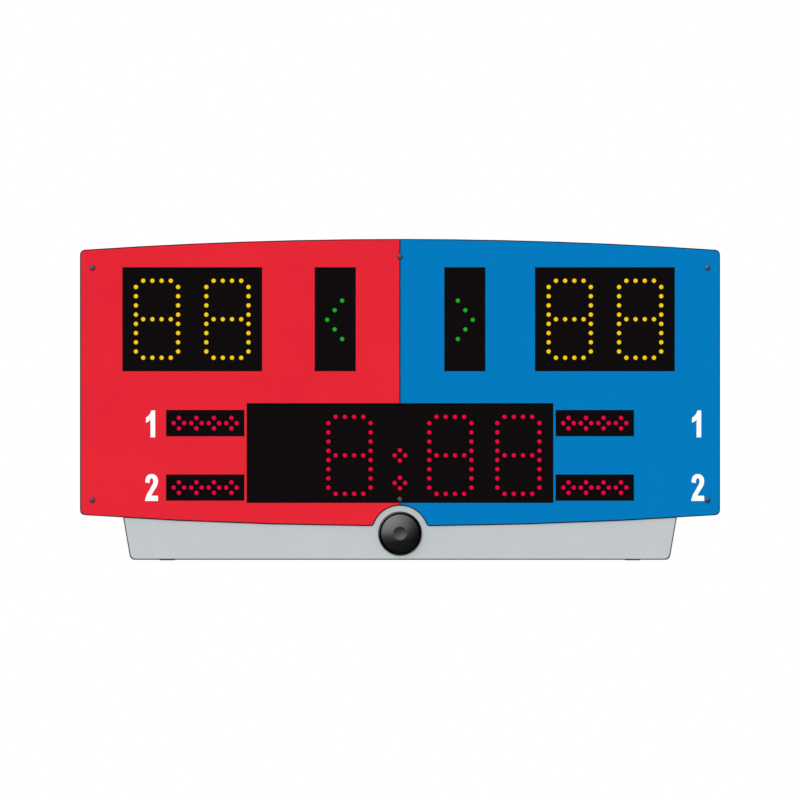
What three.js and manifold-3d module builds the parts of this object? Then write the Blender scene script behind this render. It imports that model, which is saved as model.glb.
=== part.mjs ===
// Table-top electronic scoreboard for two sides, red and blue, with score, arrow, clock and penalty windows.
// Millimetres. X runs to the right as the public sees it, Y from the front to the back, Z up.
// The origin is on the table, under the middle of the body.

import * as THREE from 'three';
import { mergeVertices } from 'three/addons/utils/BufferGeometryUtils.js';
import Module from 'manifold-3d';

const wasm = await Module();
wasm.setup();

// Whole body
const depth = 90; // front of the siren to the back face
const seat = 0.3; // gap between two pieces that bear on each other
const overrun = 2; // how far a cutting body runs past what it cuts
const root = 0.6; // how deep a raised feature is rooted in its carrier

// Faces of round and bowed forms
const roundFaces = 12;
const smallFaces = 8;
const discFaces = 24;
const filletSteps = 3;
const bowSteps = 6;

// Front panels: one bowed outline, split at the middle
const panelWidth = 660;
const panelHeight = 296; // at the middle
const panelLift = 35.4; // lowest point of the panels above the table
const panelBow = 11.4; // rise of the top edge, and fall of the bottom one, from the sides to the middle
const panelCorner = 5;
const panelThick = 3;

// Windows, in a chain outwards from the seam
const upperWindowDrop = 29.3; // crown to the top of the score and arrow windows
const upperWindowHeight = 107;
const arrowWidth = 42.2;
const scoreWidth = 144;
const arrowInsetShare = 0.3178; // seam to the arrow window, of what the two windows leave of a half panel
const scoreStripRedShare = 0.3783; // between the arrow and score windows, of the same
const scoreStripBlueShare = 0.3579;
const clockWidth = 316;
const clockHeight = 102.6;
const clockLift = 23.9; // lowest point of the panels to the clock window
const penaltyWidth = 80.6;
const penaltyHeight = 26.9;
const penaltyStrip = 2.6; // panel between the clock and penalty windows
const penaltyRise = 2.2; // bottom of the clock window to the lower penalty window
const penaltyPitch = 66.5;

// Light-emitting diodes
const dotRadius = 2.5;
const dotProud = 1.7;
const hexFaces = 6;
const dotPitch = 9.5;
const digitWidth = 43.5;
const digitHeight = 79.4;
const digitColumnDots = 8;
const digitRowDots = 4;
const scoreDigitPitch = 72.6;
const clockDigitPitch = 70.2;
const clockDigitMargin = 35.9; // middle of the last digit to the window's edge
const clockDigitDrop = 2.4; // digits sit this far under the middle of the window
const colonRoom = 33.8;
const colonDrop = 28.5;
const chevronStepX = 7.7;
const chevronStepZ = 9.9;
const chevronArmDots = 2;
const diamondReach = 5.4;
const diamondPitch = 18.05;
const diamondCount = 4;

// Display modules, boards behind them
const displayRecess = 2; // black faces behind the front of the panels
const lipHeight = 3;
const lipThick = 3;
const boardThick = 1.6;
const boardMargin = 2;
const chipWidth = 12;
const chipLength = 22;
const chipThick = 3;
const chipPitch = 48;

// Housing
const housingInset = 1.5; // housing inside the outline of the panels
const wall = 3;
const frontShellDepth = 38;
const frontEdge = 1.2; // chamfer round the front of the housing
const backRound = 14;
const backRoundSteps = 5;
const backDraft = 3;
const lapDepth = 4;
const lapThick = 1.35;
const baseInset = 50.5; // side of the panels to the end of the base, at the table
const baseDraft = THREE.MathUtils.degToRad(9.8);
const baseCorner = 5;

// Siren and the cut-out round it
const sirenLift = 27.8; // its middle above the table
const sirenProud = 4; // in front of the panels
const sirenRadius = 22.6;
const sirenRim = 2.2;
const sirenFaceRadius = 19.6;
const sirenGroove = 0.7; // round the face
const sirenFaceThick = 2;
const sirenDome = 2.6;
const portRadius = 6.7;
const portDish = 1.1;
const collarRadius = 15;
const collarWall = 2.4;
const collarLength = 24;
const driverLength = 20;
const nutThick = 5;
const nutReach = 19; // across the corners, halved
const cutoutRadius = 28.7;
const cutoutLip = 4;

// Screws
const headRadius = 2.8;
const headHeight = 1.8;
const headCrownShare = 0.5;
const socketRadius = 1.2;
const socketDepth = 0.9;
const shankRadius = 1.5;
const shankTip = 2;
const panelScrewLength = 14;
const coverScrewLength = 12;
const smallScrewLength = 6;
const cornerScrewInset = 12.7;
const cornerScrewDrop = 18.3;
const cornerScrewRise = 15.2;
const clockScrewRise = 3.6; // bottom of the clock window to its screw
const bossRadius = 4.5;
const bossLength = 12;
const pillarRadius = 5;
const tubeRadius = 6.2;
const tubeFloor = 3;
const coverScrewShare = 0.6; // side of the panels to the screws of the rear cover, of the strip there
const coverScrewTopDrop = 54;
const coverScrewBottomRise = 58;
const baseScrewInset = 64.5; // end of the base to its screws
const baseScrewLift = 25;

// Battery in its pocket, controller board
const batteryShare = 0.25; // seam to the middle of the battery, of the panels' width
const batteryLift = 98;
const batteryWidth = 150;
const batteryHeight = 65;
const batteryThick = 32;
const pocketWall = 2.4;
const doorThick = 2.5;
const doorEar = 11;
const doorLedge = 4;
const collarDepth = 5;
const controllerGap = 5; // above the battery's pocket
const controllerWidth = 120;
const controllerHeight = 80;
const controllerStandoff = 24;
const postRadius = 3.5;
const postInset = 8;

// Connector bay, seen from behind on the left
const bayShare = 0.25; // seam to the middle of the bay, of the panels' width
const bayLift = 98;
const bayWidth = 132;
const bayHeight = 46;
const bayDepth = 15;
const bayLedge = 7;
const bayLedgeThick = 6;
const plateThick = 2;
const plateScrewInset = 3.6;
const switchOffset = -42;
const inletOffset = -14;
const consoleOffset = 13;
const extensionOffset = 41;

// Power switch
const switchWidth = 15;
const switchHeight = 21;
const switchFlange = 2;
const switchBodyWidth = 13;
const switchBodyHeight = 19.2;
const switchBodyDepth = 12;
const wellWidth = 10.4;
const wellDepth = 8;
const rockerReach = 8;
const rockerTopAngle = THREE.MathUtils.degToRad(16);
const rockerBottomAngle = THREE.MathUtils.degToRad(24);
const rockerMiddle = 1; // its waist outside the pivot
const rockerHub = 4.5;
const rockerHubHalf = 2;
const rockerTilt = THREE.MathUtils.degToRad(10);
const pinRadius = 1;
const pinLength = 1.2;

// Charging inlet and data sockets
const inletFlangeRadius = 5.6;
const inletFlangeThick = 1.5;
const inletRadius = 3.9;
const inletBore = 2.9;
const inletBoreDepth = 9;
const inletLength = 11;
const inletPinRadius = 1;
const inletPinSink = 1;
const inletNutThick = 2.5;
const socketFlangeWidth = 20;
const socketFlangeHeight = 17;
const socketFlangeThick = 1.6;
const socketBodyWidth = 16;
const socketBodyHeight = 13.5;
const socketBodyDepth = 16;
const socketMouthWidth = 12;
const socketMouthHeight = 8;
const socketMouthDepth = 13;

// Wall hangers and vents
const hangerSpread = 340;
const hangerDrop = 63;
const hangerWidth = 40;
const hangerHeight = 28;
const hangerThick = 1.5;
const hangerLedge = 3;
const hangerPocketDepth = 11;
const keyRadius = 4.6;
const keySlotRadius = 2.3;
const keySlotRise = 8;
const keyDrop = 4;
const ventCount = 7;
const ventPitch = 8;
const ventLength = 60;
const ventHeight = 3;
const ventSpread = 330;
const ventDrop = 106; // crown to the middle of the top slot

// Feet
const footRadius = 8;
const footThick = 2.5;
const footProud = 0.5;
const footInset = 39.5; // end of the base to the middle of a foot
const footSpreadY = 50;

// Places along Y, from the front to the back
const frontY = -depth / 2;
const backY = depth / 2;
const panelFront = frontY + sirenProud;
const panelBack = panelFront + panelThick;
const shellFront = panelBack + seat;
const wallBack = shellFront + wall;
const displayFace = panelFront + displayRecess;
const lipFront = wallBack + seat;
const displayBack = lipFront + lipThick;
const boardFront = displayBack + seat;
const partingY = shellFront + frontShellDepth;
const coverFront = partingY + seat;
const coverInside = backY - wall;

// Places along Z
const crownZ = panelLift + panelHeight;
const upperTop = crownZ - upperWindowDrop;
const upperZ = upperTop - upperWindowHeight / 2;
const clockBottom = panelLift + clockLift;
const clockZ = clockBottom + clockHeight / 2;
const penaltyLowerZ = clockBottom + penaltyRise + penaltyHeight / 2;
const penaltyUpperZ = penaltyLowerZ + penaltyPitch;
const sideTop = crownZ - panelBow;
const sideBottom = panelLift + panelBow;
const pocketTop = batteryLift + batteryHeight / 2 + seat + pocketWall;
const controllerLift = pocketTop + controllerGap + controllerHeight / 2;

// Places along X
const sideX = panelWidth / 2;
const freeWidth = sideX - arrowWidth - scoreWidth; // what the windows leave of a half panel
const arrowInset = freeWidth * arrowInsetShare;
const arrowX = arrowInset + arrowWidth / 2;
const scoreRedX = arrowInset + arrowWidth + freeWidth * scoreStripRedShare + scoreWidth / 2;
const scoreBlueX = arrowInset + arrowWidth + freeWidth * scoreStripBlueShare + scoreWidth / 2;
const sideStrip = sideX - scoreRedX - scoreWidth / 2;
const penaltyX = clockWidth / 2 + penaltyStrip + penaltyWidth / 2;
const coverScrewX = sideX - sideStrip * coverScrewShare;
const baseEnd = sideX - baseInset;
const footX = baseEnd - footInset;
const baseScrewX = baseEnd - baseScrewInset;
const batteryX = -panelWidth * batteryShare;
const bayX = panelWidth * bayShare;

const colours = {
  red: { color: 0xe62a39, roughness: 0.42, metalness: 0 },
  blue: { color: 0x007bbf, roughness: 0.42, metalness: 0 },
  grey: { color: 0xc1c6c9, roughness: 0.55, metalness: 0 },
  displayBlack: { color: 0x130f10, roughness: 0.6, metalness: 0 },
  sirenBlack: { color: 0x1c1c1e, roughness: 0.38, metalness: 0 },
  socketBlack: { color: 0x18181a, roughness: 0.5, metalness: 0 },
  darkSteel: { color: 0x2d3033, roughness: 0.4, metalness: 0.8 },
  steel: { color: 0xb4b7ba, roughness: 0.35, metalness: 0.9 },
  board: { color: 0x1d5b36, roughness: 0.5, metalness: 0 },
  battery: { color: 0x23262b, roughness: 0.6, metalness: 0 },
  rubber: { color: 0x202020, roughness: 0.9, metalness: 0 },
};

// A closed geometry as a solid that can be joined and cut
function solidOf(geometry) {
  geometry.deleteAttribute('normal');
  geometry.deleteAttribute('uv');
  const skin = mergeVertices(geometry);
  const index = skin.index.array;
  const corners = [];
  for (let i = 0; i < index.length; i += 3) {
    const [a, b, c] = index.slice(i, i + 3);
    if (a !== b && b !== c && c !== a) corners.push(a, b, c);
  }
  return new wasm.Manifold(new wasm.Mesh({
    numProp: 3,
    vertProperties: new Float32Array(skin.attributes.position.array),
    triVerts: new Uint32Array(corners),
  }));
}

// A solid as a named mesh with its own material
function meshOf(name, solid, finish) {
  const { vertProperties, triVerts } = solid.getMesh();
  const geometry = new THREE.BufferGeometry();
  geometry.setAttribute('position', new THREE.BufferAttribute(vertProperties, 3));
  geometry.setIndex(new THREE.BufferAttribute(triVerts, 1));
  geometry.computeVertexNormals();
  const mesh = new THREE.Mesh(geometry, new THREE.MeshStandardMaterial({ ...finish, flatShading: true }));
  mesh.name = name;
  return mesh;
}

// A block by its middle in X and Z, its front and its back
function block(x, z, sizeX, sizeZ, front, back) {
  const box = new THREE.BoxGeometry(sizeX, back - front, sizeZ);
  box.translate(x, (front + back) / 2, z);
  return solidOf(box);
}

// A round bar along Y
function bar(x, z, radius, front, back, faces = roundFaces) {
  const cylinder = new THREE.CylinderGeometry(radius, radius, back - front, faces);
  cylinder.translate(x, (front + back) / 2, z);
  return solidOf(cylinder);
}

// A round form about the Y axis: profile points are (radius, y), from the front to the back
function turned(profile, faces) {
  return solidOf(new THREE.LatheGeometry(profile.map(([r, y]) => new THREE.Vector2(r, y)), faces));
}

// A flat outline in X and Z, given its thickness along Y
function plate(points, front, back) {
  const shape = new THREE.Shape(points);
  const sheet = new THREE.ExtrudeGeometry(shape, { depth: back - front, bevelEnabled: false });
  sheet.rotateX(Math.PI / 2);
  sheet.translate(0, back, 0);
  return solidOf(sheet);
}

// A body through outlines of equal count, from the front to the back
function loft(stations) {
  const count = stations[0].points.length;
  const position = stations.flatMap(({ y, points }) => points.flatMap((p) => [p.x, y, p.y]));
  const index = [];
  for (let ring = 0; ring < stations.length - 1; ring += 1) {
    for (let i = 0; i < count; i += 1) {
      const a = ring * count + i;
      const b = ring * count + (i + 1) % count;
      index.push(a, a + count, b, b, a + count, b + count);
    }
  }
  const last = (stations.length - 1) * count;
  for (const [a, b, c] of THREE.ShapeUtils.triangulateShape(stations[0].points, [])) index.push(a, b, c);
  for (const [a, b, c] of THREE.ShapeUtils.triangulateShape(stations.at(-1).points, [])) {
    index.push(last + a, last + c, last + b);
  }
  const geometry = new THREE.BufferGeometry();
  geometry.setAttribute('position', new THREE.Float32BufferAttribute(position, 3));
  geometry.setIndex(index);
  return solidOf(geometry);
}

function arc(cx, cz, radius, from, to, steps) {
  const points = [];
  for (let i = 0; i <= steps; i += 1) {
    const angle = THREE.MathUtils.lerp(from, to, i / steps);
    points.push(new THREE.Vector2(cx + radius * Math.cos(angle), cz + radius * Math.sin(angle)));
  }
  return points;
}

// The right half of an outline, closed by its mirror image
function mirrored(right) {
  const left = right.filter((p) => p.x > 0).map((p) => new THREE.Vector2(-p.x, p.y));
  return [...right, ...left.reverse()];
}

// Radius of the arc that a bowed edge follows across the panels
const bowRadius = (sideX ** 2 + panelBow ** 2) / (2 * panelBow);

// Right side of the bowed body, from the bottom corner up to the crown
function bowedSide(inset, bottomStart) {
  const half = sideX - inset;
  const radius = bowRadius - inset;
  const corner = panelCorner;
  const lean = Math.asin((half - corner) / (radius - corner));
  const rise = Math.sqrt((radius - corner) ** 2 - (half - corner) ** 2);
  const bottomCentre = panelLift + bowRadius;
  const topCentre = crownZ - bowRadius;
  const quarter = Math.PI / 2;
  return [
    ...arc(0, bottomCentre, radius, bottomStart, lean - quarter, filletSteps),
    ...arc(half - corner, bottomCentre - rise, corner, lean - quarter, 0, filletSteps).slice(1),
    ...arc(half - corner, topCentre + rise, corner, 0, quarter - lean, filletSteps),
    ...arc(0, topCentre, radius, quarter - lean, quarter, bowSteps).slice(1),
  ];
}

// Outline of the two panels together, with the cut-out round the siren
function panelOutline() {
  const lipZ = panelLift + cutoutLip;
  const reach = cutoutRadius + cutoutLip;
  const lipX = Math.sqrt(reach ** 2 - (lipZ - sirenLift) ** 2);
  const lipAngle = Math.atan2(lipZ - sirenLift, lipX);
  const quarter = Math.PI / 2;
  return mirrored([
    ...arc(0, sirenLift, cutoutRadius, quarter, lipAngle, roundFaces),
    ...arc(lipX, lipZ, cutoutLip, Math.PI + lipAngle, quarter * 3, filletSteps).slice(1),
    ...bowedSide(0, Math.asin(lipX / bowRadius) - quarter).slice(1),
  ]);
}

// Outline of the housing: the bowed body standing on its narrower base
function housingOutline(inset, floorRise) {
  const floor = footProud + floorRise;
  const tan = Math.tan(baseDraft);
  const cos = Math.cos(baseDraft);
  const sin = Math.sin(baseDraft);
  const sideAt = (z) => baseEnd - inset / cos + z * tan;
  const cornerX = sideAt(floor) + (sin - 1) * baseCorner / cos;
  const centre = panelLift + bowRadius;
  const radius = bowRadius - inset;
  const a = 1 + tan ** 2;
  const b = sideAt(0) * tan - centre;
  const c = sideAt(0) ** 2 + centre ** 2 - radius ** 2;
  const joinZ = (-b - Math.sqrt(b ** 2 - a * c)) / a;
  return mirrored([
    ...arc(cornerX, floor + baseCorner, baseCorner, -Math.PI / 2, -baseDraft, filletSteps),
    ...bowedSide(inset, Math.atan2(joinZ - centre, sideAt(joinZ))),
  ]);
}

// Dots of one figure eight, the clock's colon, an arrow and a row of diamonds, as offsets from their middle
function digitDots() {
  const dots = [];
  for (const side of [-1, 1]) {
    for (let i = 0; i < digitColumnDots; i += 1) {
      dots.push([side * digitWidth / 2, (i - (digitColumnDots - 1) / 2) * dotPitch]);
    }
  }
  for (const level of [-1, 0, 1]) {
    for (let i = 0; i < digitRowDots; i += 1) {
      dots.push([(i - (digitRowDots - 1) / 2) * dotPitch, level * digitHeight / 2]);
    }
  }
  return dots;
}

const diamondDots = [[diamondReach, 0], [0, diamondReach], [-diamondReach, 0], [0, -diamondReach]];

const moved = (dots, x, z) => dots.map(([dx, dz]) => [dx + x, dz + z]);

function scoreDots() {
  return [-1, 1].flatMap((side) => moved(digitDots(), side * scoreDigitPitch / 2, 0));
}

function clockDots() {
  const last = clockWidth / 2 - clockDigitMargin;
  const middle = last - clockDigitPitch;
  const first = middle - clockDigitPitch - colonRoom;
  const colon = (first + middle) / 2;
  return [
    ...[first, middle, last].flatMap((x) => moved(digitDots(), x, -clockDigitDrop)),
    ...moved(diamondDots, colon, -clockDigitDrop),
    ...moved(diamondDots, colon, -clockDigitDrop - colonDrop),
  ];
}

function arrowDots(side) {
  const dots = [];
  for (let i = -chevronArmDots; i <= chevronArmDots; i += 1) {
    dots.push([side * (chevronArmDots / 2 - Math.abs(i)) * chevronStepX, i * chevronStepZ]);
  }
  return dots;
}

function penaltyDots() {
  return Array.from({ length: diamondCount }, (_, i) => i)
    .flatMap((i) => moved(diamondDots, (i - (diamondCount - 1) / 2) * diamondPitch, 0));
}

const upper = { z: upperZ, h: upperWindowHeight };
const windows = [
  { ...upper, name: 'score_display_red', x: -scoreRedX, w: scoreWidth, dots: scoreDots() },
  { ...upper, name: 'score_display_blue', x: scoreBlueX, w: scoreWidth, dots: scoreDots() },
  { ...upper, name: 'arrow_display_red', x: -arrowX, w: arrowWidth, dots: arrowDots(-1) },
  { ...upper, name: 'arrow_display_blue', x: arrowX, w: arrowWidth, dots: arrowDots(1) },
  { name: 'clock_display', x: 0, z: clockZ, w: clockWidth, h: clockHeight, dots: clockDots() },
];
for (const [side, x] of [['red', -penaltyX], ['blue', penaltyX]]) {
  for (const [row, z] of [['1', penaltyUpperZ], ['2', penaltyLowerZ]]) {
    const name = `penalty_display_${side}_${row}`;
    windows.push({ name, x, z, w: penaltyWidth, h: penaltyHeight, dots: penaltyDots() });
  }
}

const cornerScrewX = sideX - cornerScrewInset;
const clockScrewZ = clockBottom + clockScrewRise;
const panelScrews = [
  { name: 'top_left', x: -cornerScrewX, z: sideTop - cornerScrewDrop, bearing: panelFront },
  { name: 'top_right', x: cornerScrewX, z: sideTop - cornerScrewDrop, bearing: panelFront },
  { name: 'bottom_left', x: -cornerScrewX, z: sideBottom + cornerScrewRise, bearing: panelFront },
  { name: 'bottom_right', x: cornerScrewX, z: sideBottom + cornerScrewRise, bearing: panelFront },
  { name: 'top_centre', x: 0, z: crownZ - cornerScrewDrop, bearing: panelFront },
  { name: 'bottom_centre', x: 0, z: clockScrewZ, bearing: displayFace },
];
const coverScrews = [-1, 1].flatMap((side) => [
  { x: side * coverScrewX, z: sideTop - coverScrewTopDrop },
  { x: side * coverScrewX, z: sideBottom + coverScrewBottomRise },
  { x: side * baseScrewX, z: baseScrewLift },
]);

// A self-tapping screw with a socket head: it bears at y 0 and points to the back
function screw(length, faces) {
  const crown = -headHeight * headCrownShare;
  return turned([
    [0, socketDepth - headHeight],
    [socketRadius, socketDepth - headHeight],
    [socketRadius, -headHeight],
    [(socketRadius + headRadius) / 2, -headHeight],
    [headRadius, crown],
    [headRadius, 0],
    [shankRadius, 0],
    [shankRadius, length - shankTip],
    [0, length],
  ], faces);
}

function screwMesh(name, length, faces, x, y, z, facing) {
  const mesh = meshOf(name, screw(length, faces), colours.darkSteel);
  mesh.position.set(x, y, z);
  if (facing === 'back') mesh.rotation.z = Math.PI;
  return mesh;
}

const holeRadius = shankRadius + seat;

// Panel sheets, halves of one outline
function panelMeshes() {
  const from = panelFront - overrun;
  const to = panelBack + overrun;
  const openings = windows.map(({ x, z, w, h }) => block(x, z, w, h, from, to));
  const holes = panelScrews.map(({ x, z }) => bar(x, z, holeRadius, from, to, smallFaces));
  let sheet = plate(panelOutline(), panelFront, panelBack);
  for (const cut of [...openings, ...holes]) sheet = sheet.subtract(cut);
  return [['red_panel', -1, colours.red], ['blue_panel', 1, colours.blue]].map(([name, side, finish]) => {
    const middle = side * (panelWidth + seat) / 4 + side * overrun / 2;
    const sizeX = (panelWidth - seat) / 2 + overrun;
    const half = block(middle, crownZ / 2, sizeX, crownZ + overrun, from, to);
    return meshOf(name, sheet.intersect(half), finish);
  });
}

// One lens of a light-emitting diode, rooted in the face behind it
function lens(x, z) {
  const dome = turned([
    [0, -dotProud],
    [dotRadius, 0],
    [dotRadius, root],
    [0, root],
  ], hexFaces);
  return dome.translate([x, displayFace, z]);
}

// A potted display module: black face in its window, lips behind the front wall, lenses on the face
function displayMesh({ name, x, z, w, h, dots }) {
  const face = block(x, z, w - seat * 2, h - seat * 2, displayFace, displayBack);
  const lips = block(x, z, w - seat * 2, h + lipHeight * 2, lipFront, displayBack);
  let module = face.add(lips);
  for (const [dx, dz] of dots) module = module.add(lens(x + dx, z + dz));
  if (name === 'clock_display') {
    const hole = bar(0, clockScrewZ, holeRadius, displayFace - overrun, displayBack + overrun, smallFaces);
    module = module.subtract(hole);
  }
  return meshOf(name, module, colours.displayBlack);
}

// A printed circuit board with a row of driver chips on its back
function board(x0, x1, z0, z1, front) {
  const back = front + boardThick;
  const z = (z0 + z1) / 2;
  let sheet = block((x0 + x1) / 2, z, x1 - x0, z1 - z0, front, back);
  const chips = Math.max(1, Math.floor((x1 - x0 - chipLength) / chipPitch));
  for (let i = 0; i < chips; i += 1) {
    const x = (x0 + x1) / 2 + (i - (chips - 1) / 2) * chipPitch;
    sheet = sheet.add(block(x, z, chipLength, chipWidth, front + boardThick / 2, back + chipThick));
  }
  return sheet;
}

function boardMeshes() {
  const inner = arrowInset - boardMargin;
  const redOuter = scoreRedX + scoreWidth / 2 + boardMargin;
  const blueOuter = scoreBlueX + scoreWidth / 2 + boardMargin;
  const low = upperTop - upperWindowHeight - boardMargin;
  const high = upperTop + boardMargin;
  const lowerEdge = clockScrewZ + bossRadius + boardMargin;
  const upperEdge = clockBottom + clockHeight;
  const clockHalf = penaltyX + penaltyWidth / 2 + boardMargin;
  return [
    meshOf('score_board_red', board(-redOuter, -inner, low, high, boardFront), colours.board),
    meshOf('score_board_blue', board(inner, blueOuter, low, high, boardFront), colours.board),
    meshOf('clock_board', board(-clockHalf, clockHalf, lowerEdge, upperEdge, boardFront), colours.board),
  ];
}

// How far the siren's face stands in front of its edge: a dome, with a dish sunk in its middle
function faceRise(radius) {
  const dome = sirenDome * (1 - (radius / sirenFaceRadius) ** 2);
  return dome - portDish * Math.max(0, 1 - (radius / portRadius) ** 2);
}

// Flange and collar of the siren, the face in it, the driver behind it and the nut that clamps it all
function sirenMeshes() {
  const flangeBack = shellFront - seat - frontY;
  const faceSeat = sirenFaceThick + sirenDome + seat;
  const cupRadius = sirenFaceRadius + sirenGroove;
  const rimArc = arc(sirenRadius - sirenRim, sirenRim, sirenRim, -Math.PI / 2, 0, filletSteps);
  const bezel = turned([
    [cupRadius, 0],
    ...rimArc.map((p) => [p.x, p.y]),
    [sirenRadius, flangeBack],
    [collarRadius, flangeBack],
    [collarRadius, flangeBack + collarLength],
    [collarRadius - collarWall, flangeBack + collarLength],
    [collarRadius - collarWall, faceSeat],
    [cupRadius, faceSeat],
    [cupRadius, 0],
  ], discFaces);
  const faceBack = sirenFaceThick;
  const faceRadii = [0, portRadius / 2, portRadius, (portRadius + sirenFaceRadius) / 2, sirenFaceRadius];
  const face = turned([
    ...faceRadii.map((radius) => [radius, -faceRise(radius)]),
    [sirenFaceRadius, faceBack],
    [0, faceBack],
  ], discFaces);
  const driver = turned([
    [0, 0],
    [collarRadius - collarWall - seat, 0],
    [collarRadius - collarWall - seat, driverLength],
    [0, driverLength],
  ], roundFaces);
  const nutFront = wallBack + seat;
  const nut = bar(0, 0, nutReach, 0, nutThick, hexFaces)
    .subtract(bar(0, 0, collarRadius + seat, -overrun, nutThick + overrun, discFaces));
  const pieces = [
    ['siren_bezel', bezel, frontY, colours.sirenBlack],
    ['siren_face', face, frontY + sirenDome, colours.sirenBlack],
    ['siren_driver', driver, frontY + sirenDome + faceBack + seat, colours.socketBlack],
    ['siren_nut', nut, nutFront, colours.socketBlack],
  ];
  return pieces.map(([name, solid, y, finish]) => {
    const mesh = meshOf(name, solid, finish);
    mesh.position.set(0, y, sirenLift);
    return mesh;
  });
}

const footPlaces = [['front', -1], ['back', 1]].flatMap(([row, rowSide]) => (
  [['left', -1], ['right', 1]].map(([end, endSide]) => (
    { name: `foot_${row}_${end}`, x: endSide * footX, y: rowSide * footSpreadY / 2 }))));

// An upright round bar at a foot's place
function footBar({ x, y }, radius, bottom, top) {
  const disc = new THREE.CylinderGeometry(radius, radius, top - bottom, roundFaces);
  disc.rotateX(Math.PI / 2);
  disc.translate(x, y, (bottom + top) / 2);
  return solidOf(disc);
}

const footRecessTop = footThick + seat;

// Moulded front half of the housing: window wall, rim, screw bosses and the pillars for the rear cover
function frontShellMesh() {
  let shell = loft([
    { y: shellFront, points: housingOutline(housingInset + frontEdge, frontEdge) },
    { y: shellFront + frontEdge, points: housingOutline(housingInset, 0) },
    { y: partingY, points: housingOutline(housingInset, 0) },
  ]);
  const inside = housingOutline(housingInset + wall, wall);
  const rebate = housingOutline(housingInset + lapThick, lapThick);
  const end = partingY + overrun;
  shell = shell.subtract(loft([{ y: wallBack, points: inside }, { y: end, points: inside }]));
  shell = shell.subtract(loft([{ y: partingY - lapDepth, points: rebate }, { y: end, points: rebate }]));
  for (const { x, z } of panelScrews.filter(({ bearing }) => bearing === panelFront)) {
    shell = shell.add(bar(x, z, bossRadius, wallBack - root, wallBack + bossLength));
  }
  for (const { x, z } of coverScrews) shell = shell.add(bar(x, z, pillarRadius, wallBack - root, partingY));
  shell = shell.add(clockScrewTongue());
  for (const { x, z, w, h } of windows) {
    shell = shell.subtract(block(x, z, w, h, shellFront - overrun, wallBack + seat / 2));
  }
  for (const { x, z, bearing } of panelScrews) {
    const holeEnd = bearing + panelScrewLength + seat;
    shell = shell.subtract(bar(x, z, holeRadius, shellFront - overrun, holeEnd, smallFaces));
  }
  for (const { x, z } of coverScrews) {
    const depthIn = coverScrewLength - tubeFloor + overrun;
    shell = shell.subtract(bar(x, z, holeRadius, partingY - depthIn, partingY + overrun, smallFaces));
  }
  const sirenHole = collarRadius + seat;
  shell = shell.subtract(bar(0, sirenLift, sirenHole, shellFront - overrun, wallBack + overrun, discFaces));
  for (const place of footPlaces.filter(({ y }) => y < 0)) {
    shell = shell.subtract(footBar(place, footRadius + seat, -overrun, footRecessTop));
  }
  return meshOf('front_shell', shell, colours.grey);
}

// Tongue behind the lower lip of the clock display, with the boss for its screw
function clockScrewTongue() {
  const front = displayBack + seat;
  const back = front + bossLength;
  const top = clockBottom - lipHeight - seat;
  const bottom = top - bossRadius * 2;
  const width = bossRadius * 2;
  const stem = block(0, (top + bottom) / 2, width, top - bottom, wallBack - root, back);
  const riser = block(0, (clockScrewZ + bottom) / 2, width, clockScrewZ - bottom, front, back);
  return stem.add(riser).add(bar(0, clockScrewZ, bossRadius, front, back));
}

// Outlines of the cover as it rounds off to the back face
function coverStations(extraInset, frontAt, backAt, round, steps) {
  const stations = [{ y: frontAt, points: housingOutline(housingInset + extraInset, extraInset) }];
  for (let i = 0; i <= steps; i += 1) {
    const angle = (i / steps) * Math.PI / 2;
    const inward = (1 - Math.cos(angle)) * round;
    const y = backAt - round + Math.sin(angle) * round;
    const points = housingOutline(housingInset + extraInset + backDraft + inward, extraInset + inward);
    stations.push({ y, points });
  }
  return stations;
}

// Outer box of a pocket that is open to the back
function pocketShell(x, z, width, height, front) {
  return block(x, z, width + pocketWall * 2, height + pocketWall * 2, front, coverInside + root);
}

const doorBack = backY - seat;
const doorFront = doorBack - doorThick;
const doorLedgeY = doorFront - seat;
const doorWidth = batteryWidth + (seat + doorEar) * 2;
const doorHeight = batteryHeight + (seat + doorLedge) * 2;
const batteryFront = doorLedgeY - batteryThick;
const plateBack = backY - bayDepth;
const plateFront = plateBack - plateThick;
const bayLedgeY = plateFront - seat;
const hangerBack = backY - seat;
const hangerFront = hangerBack - hangerThick;
const hangerZ = crownZ - hangerDrop;
const controllerBack = coverInside - controllerStandoff;

function batteryPocket(cover) {
  const x = batteryX;
  const z = batteryLift;
  const width = batteryWidth + seat * 2;
  const height = batteryHeight + seat * 2;
  const floor = batteryFront - seat;
  const collar = pocketShell(x, z, doorWidth, doorHeight, doorLedgeY - collarDepth);
  return cover
    .add(pocketShell(x, z, width, height, floor - pocketWall))
    .add(collar)
    .subtract(block(x, z, width, height, floor, backY + overrun))
    .subtract(block(x, z, doorWidth + seat * 2, doorHeight + seat * 2, doorLedgeY, backY + overrun));
}

const doorScrewX = (batteryWidth + doorWidth) / 4 + seat;
const doorScrews = [-1, 1].map((side) => ({ x: batteryX + side * doorScrewX, z: batteryLift }));
const plateScrews = [-1, 1].flatMap((sideX) => [-1, 1].map((sideZ) => ({
  x: bayX + sideX * (bayWidth / 2 - plateScrewInset),
  z: bayLift + sideZ * (bayHeight / 2 - plateScrewInset),
})));

function connectorBay(cover) {
  const through = bayLedgeY - bayLedgeThick;
  const innerWidth = bayWidth - bayLedge * 2;
  const innerHeight = bayHeight - bayLedge * 2;
  return cover
    .add(pocketShell(bayX, bayLift, bayWidth, bayHeight, through))
    .subtract(block(bayX, bayLift, bayWidth, bayHeight, bayLedgeY, backY + overrun))
    .subtract(block(bayX, bayLift, innerWidth, innerHeight, through - overrun, backY));
}

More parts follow.
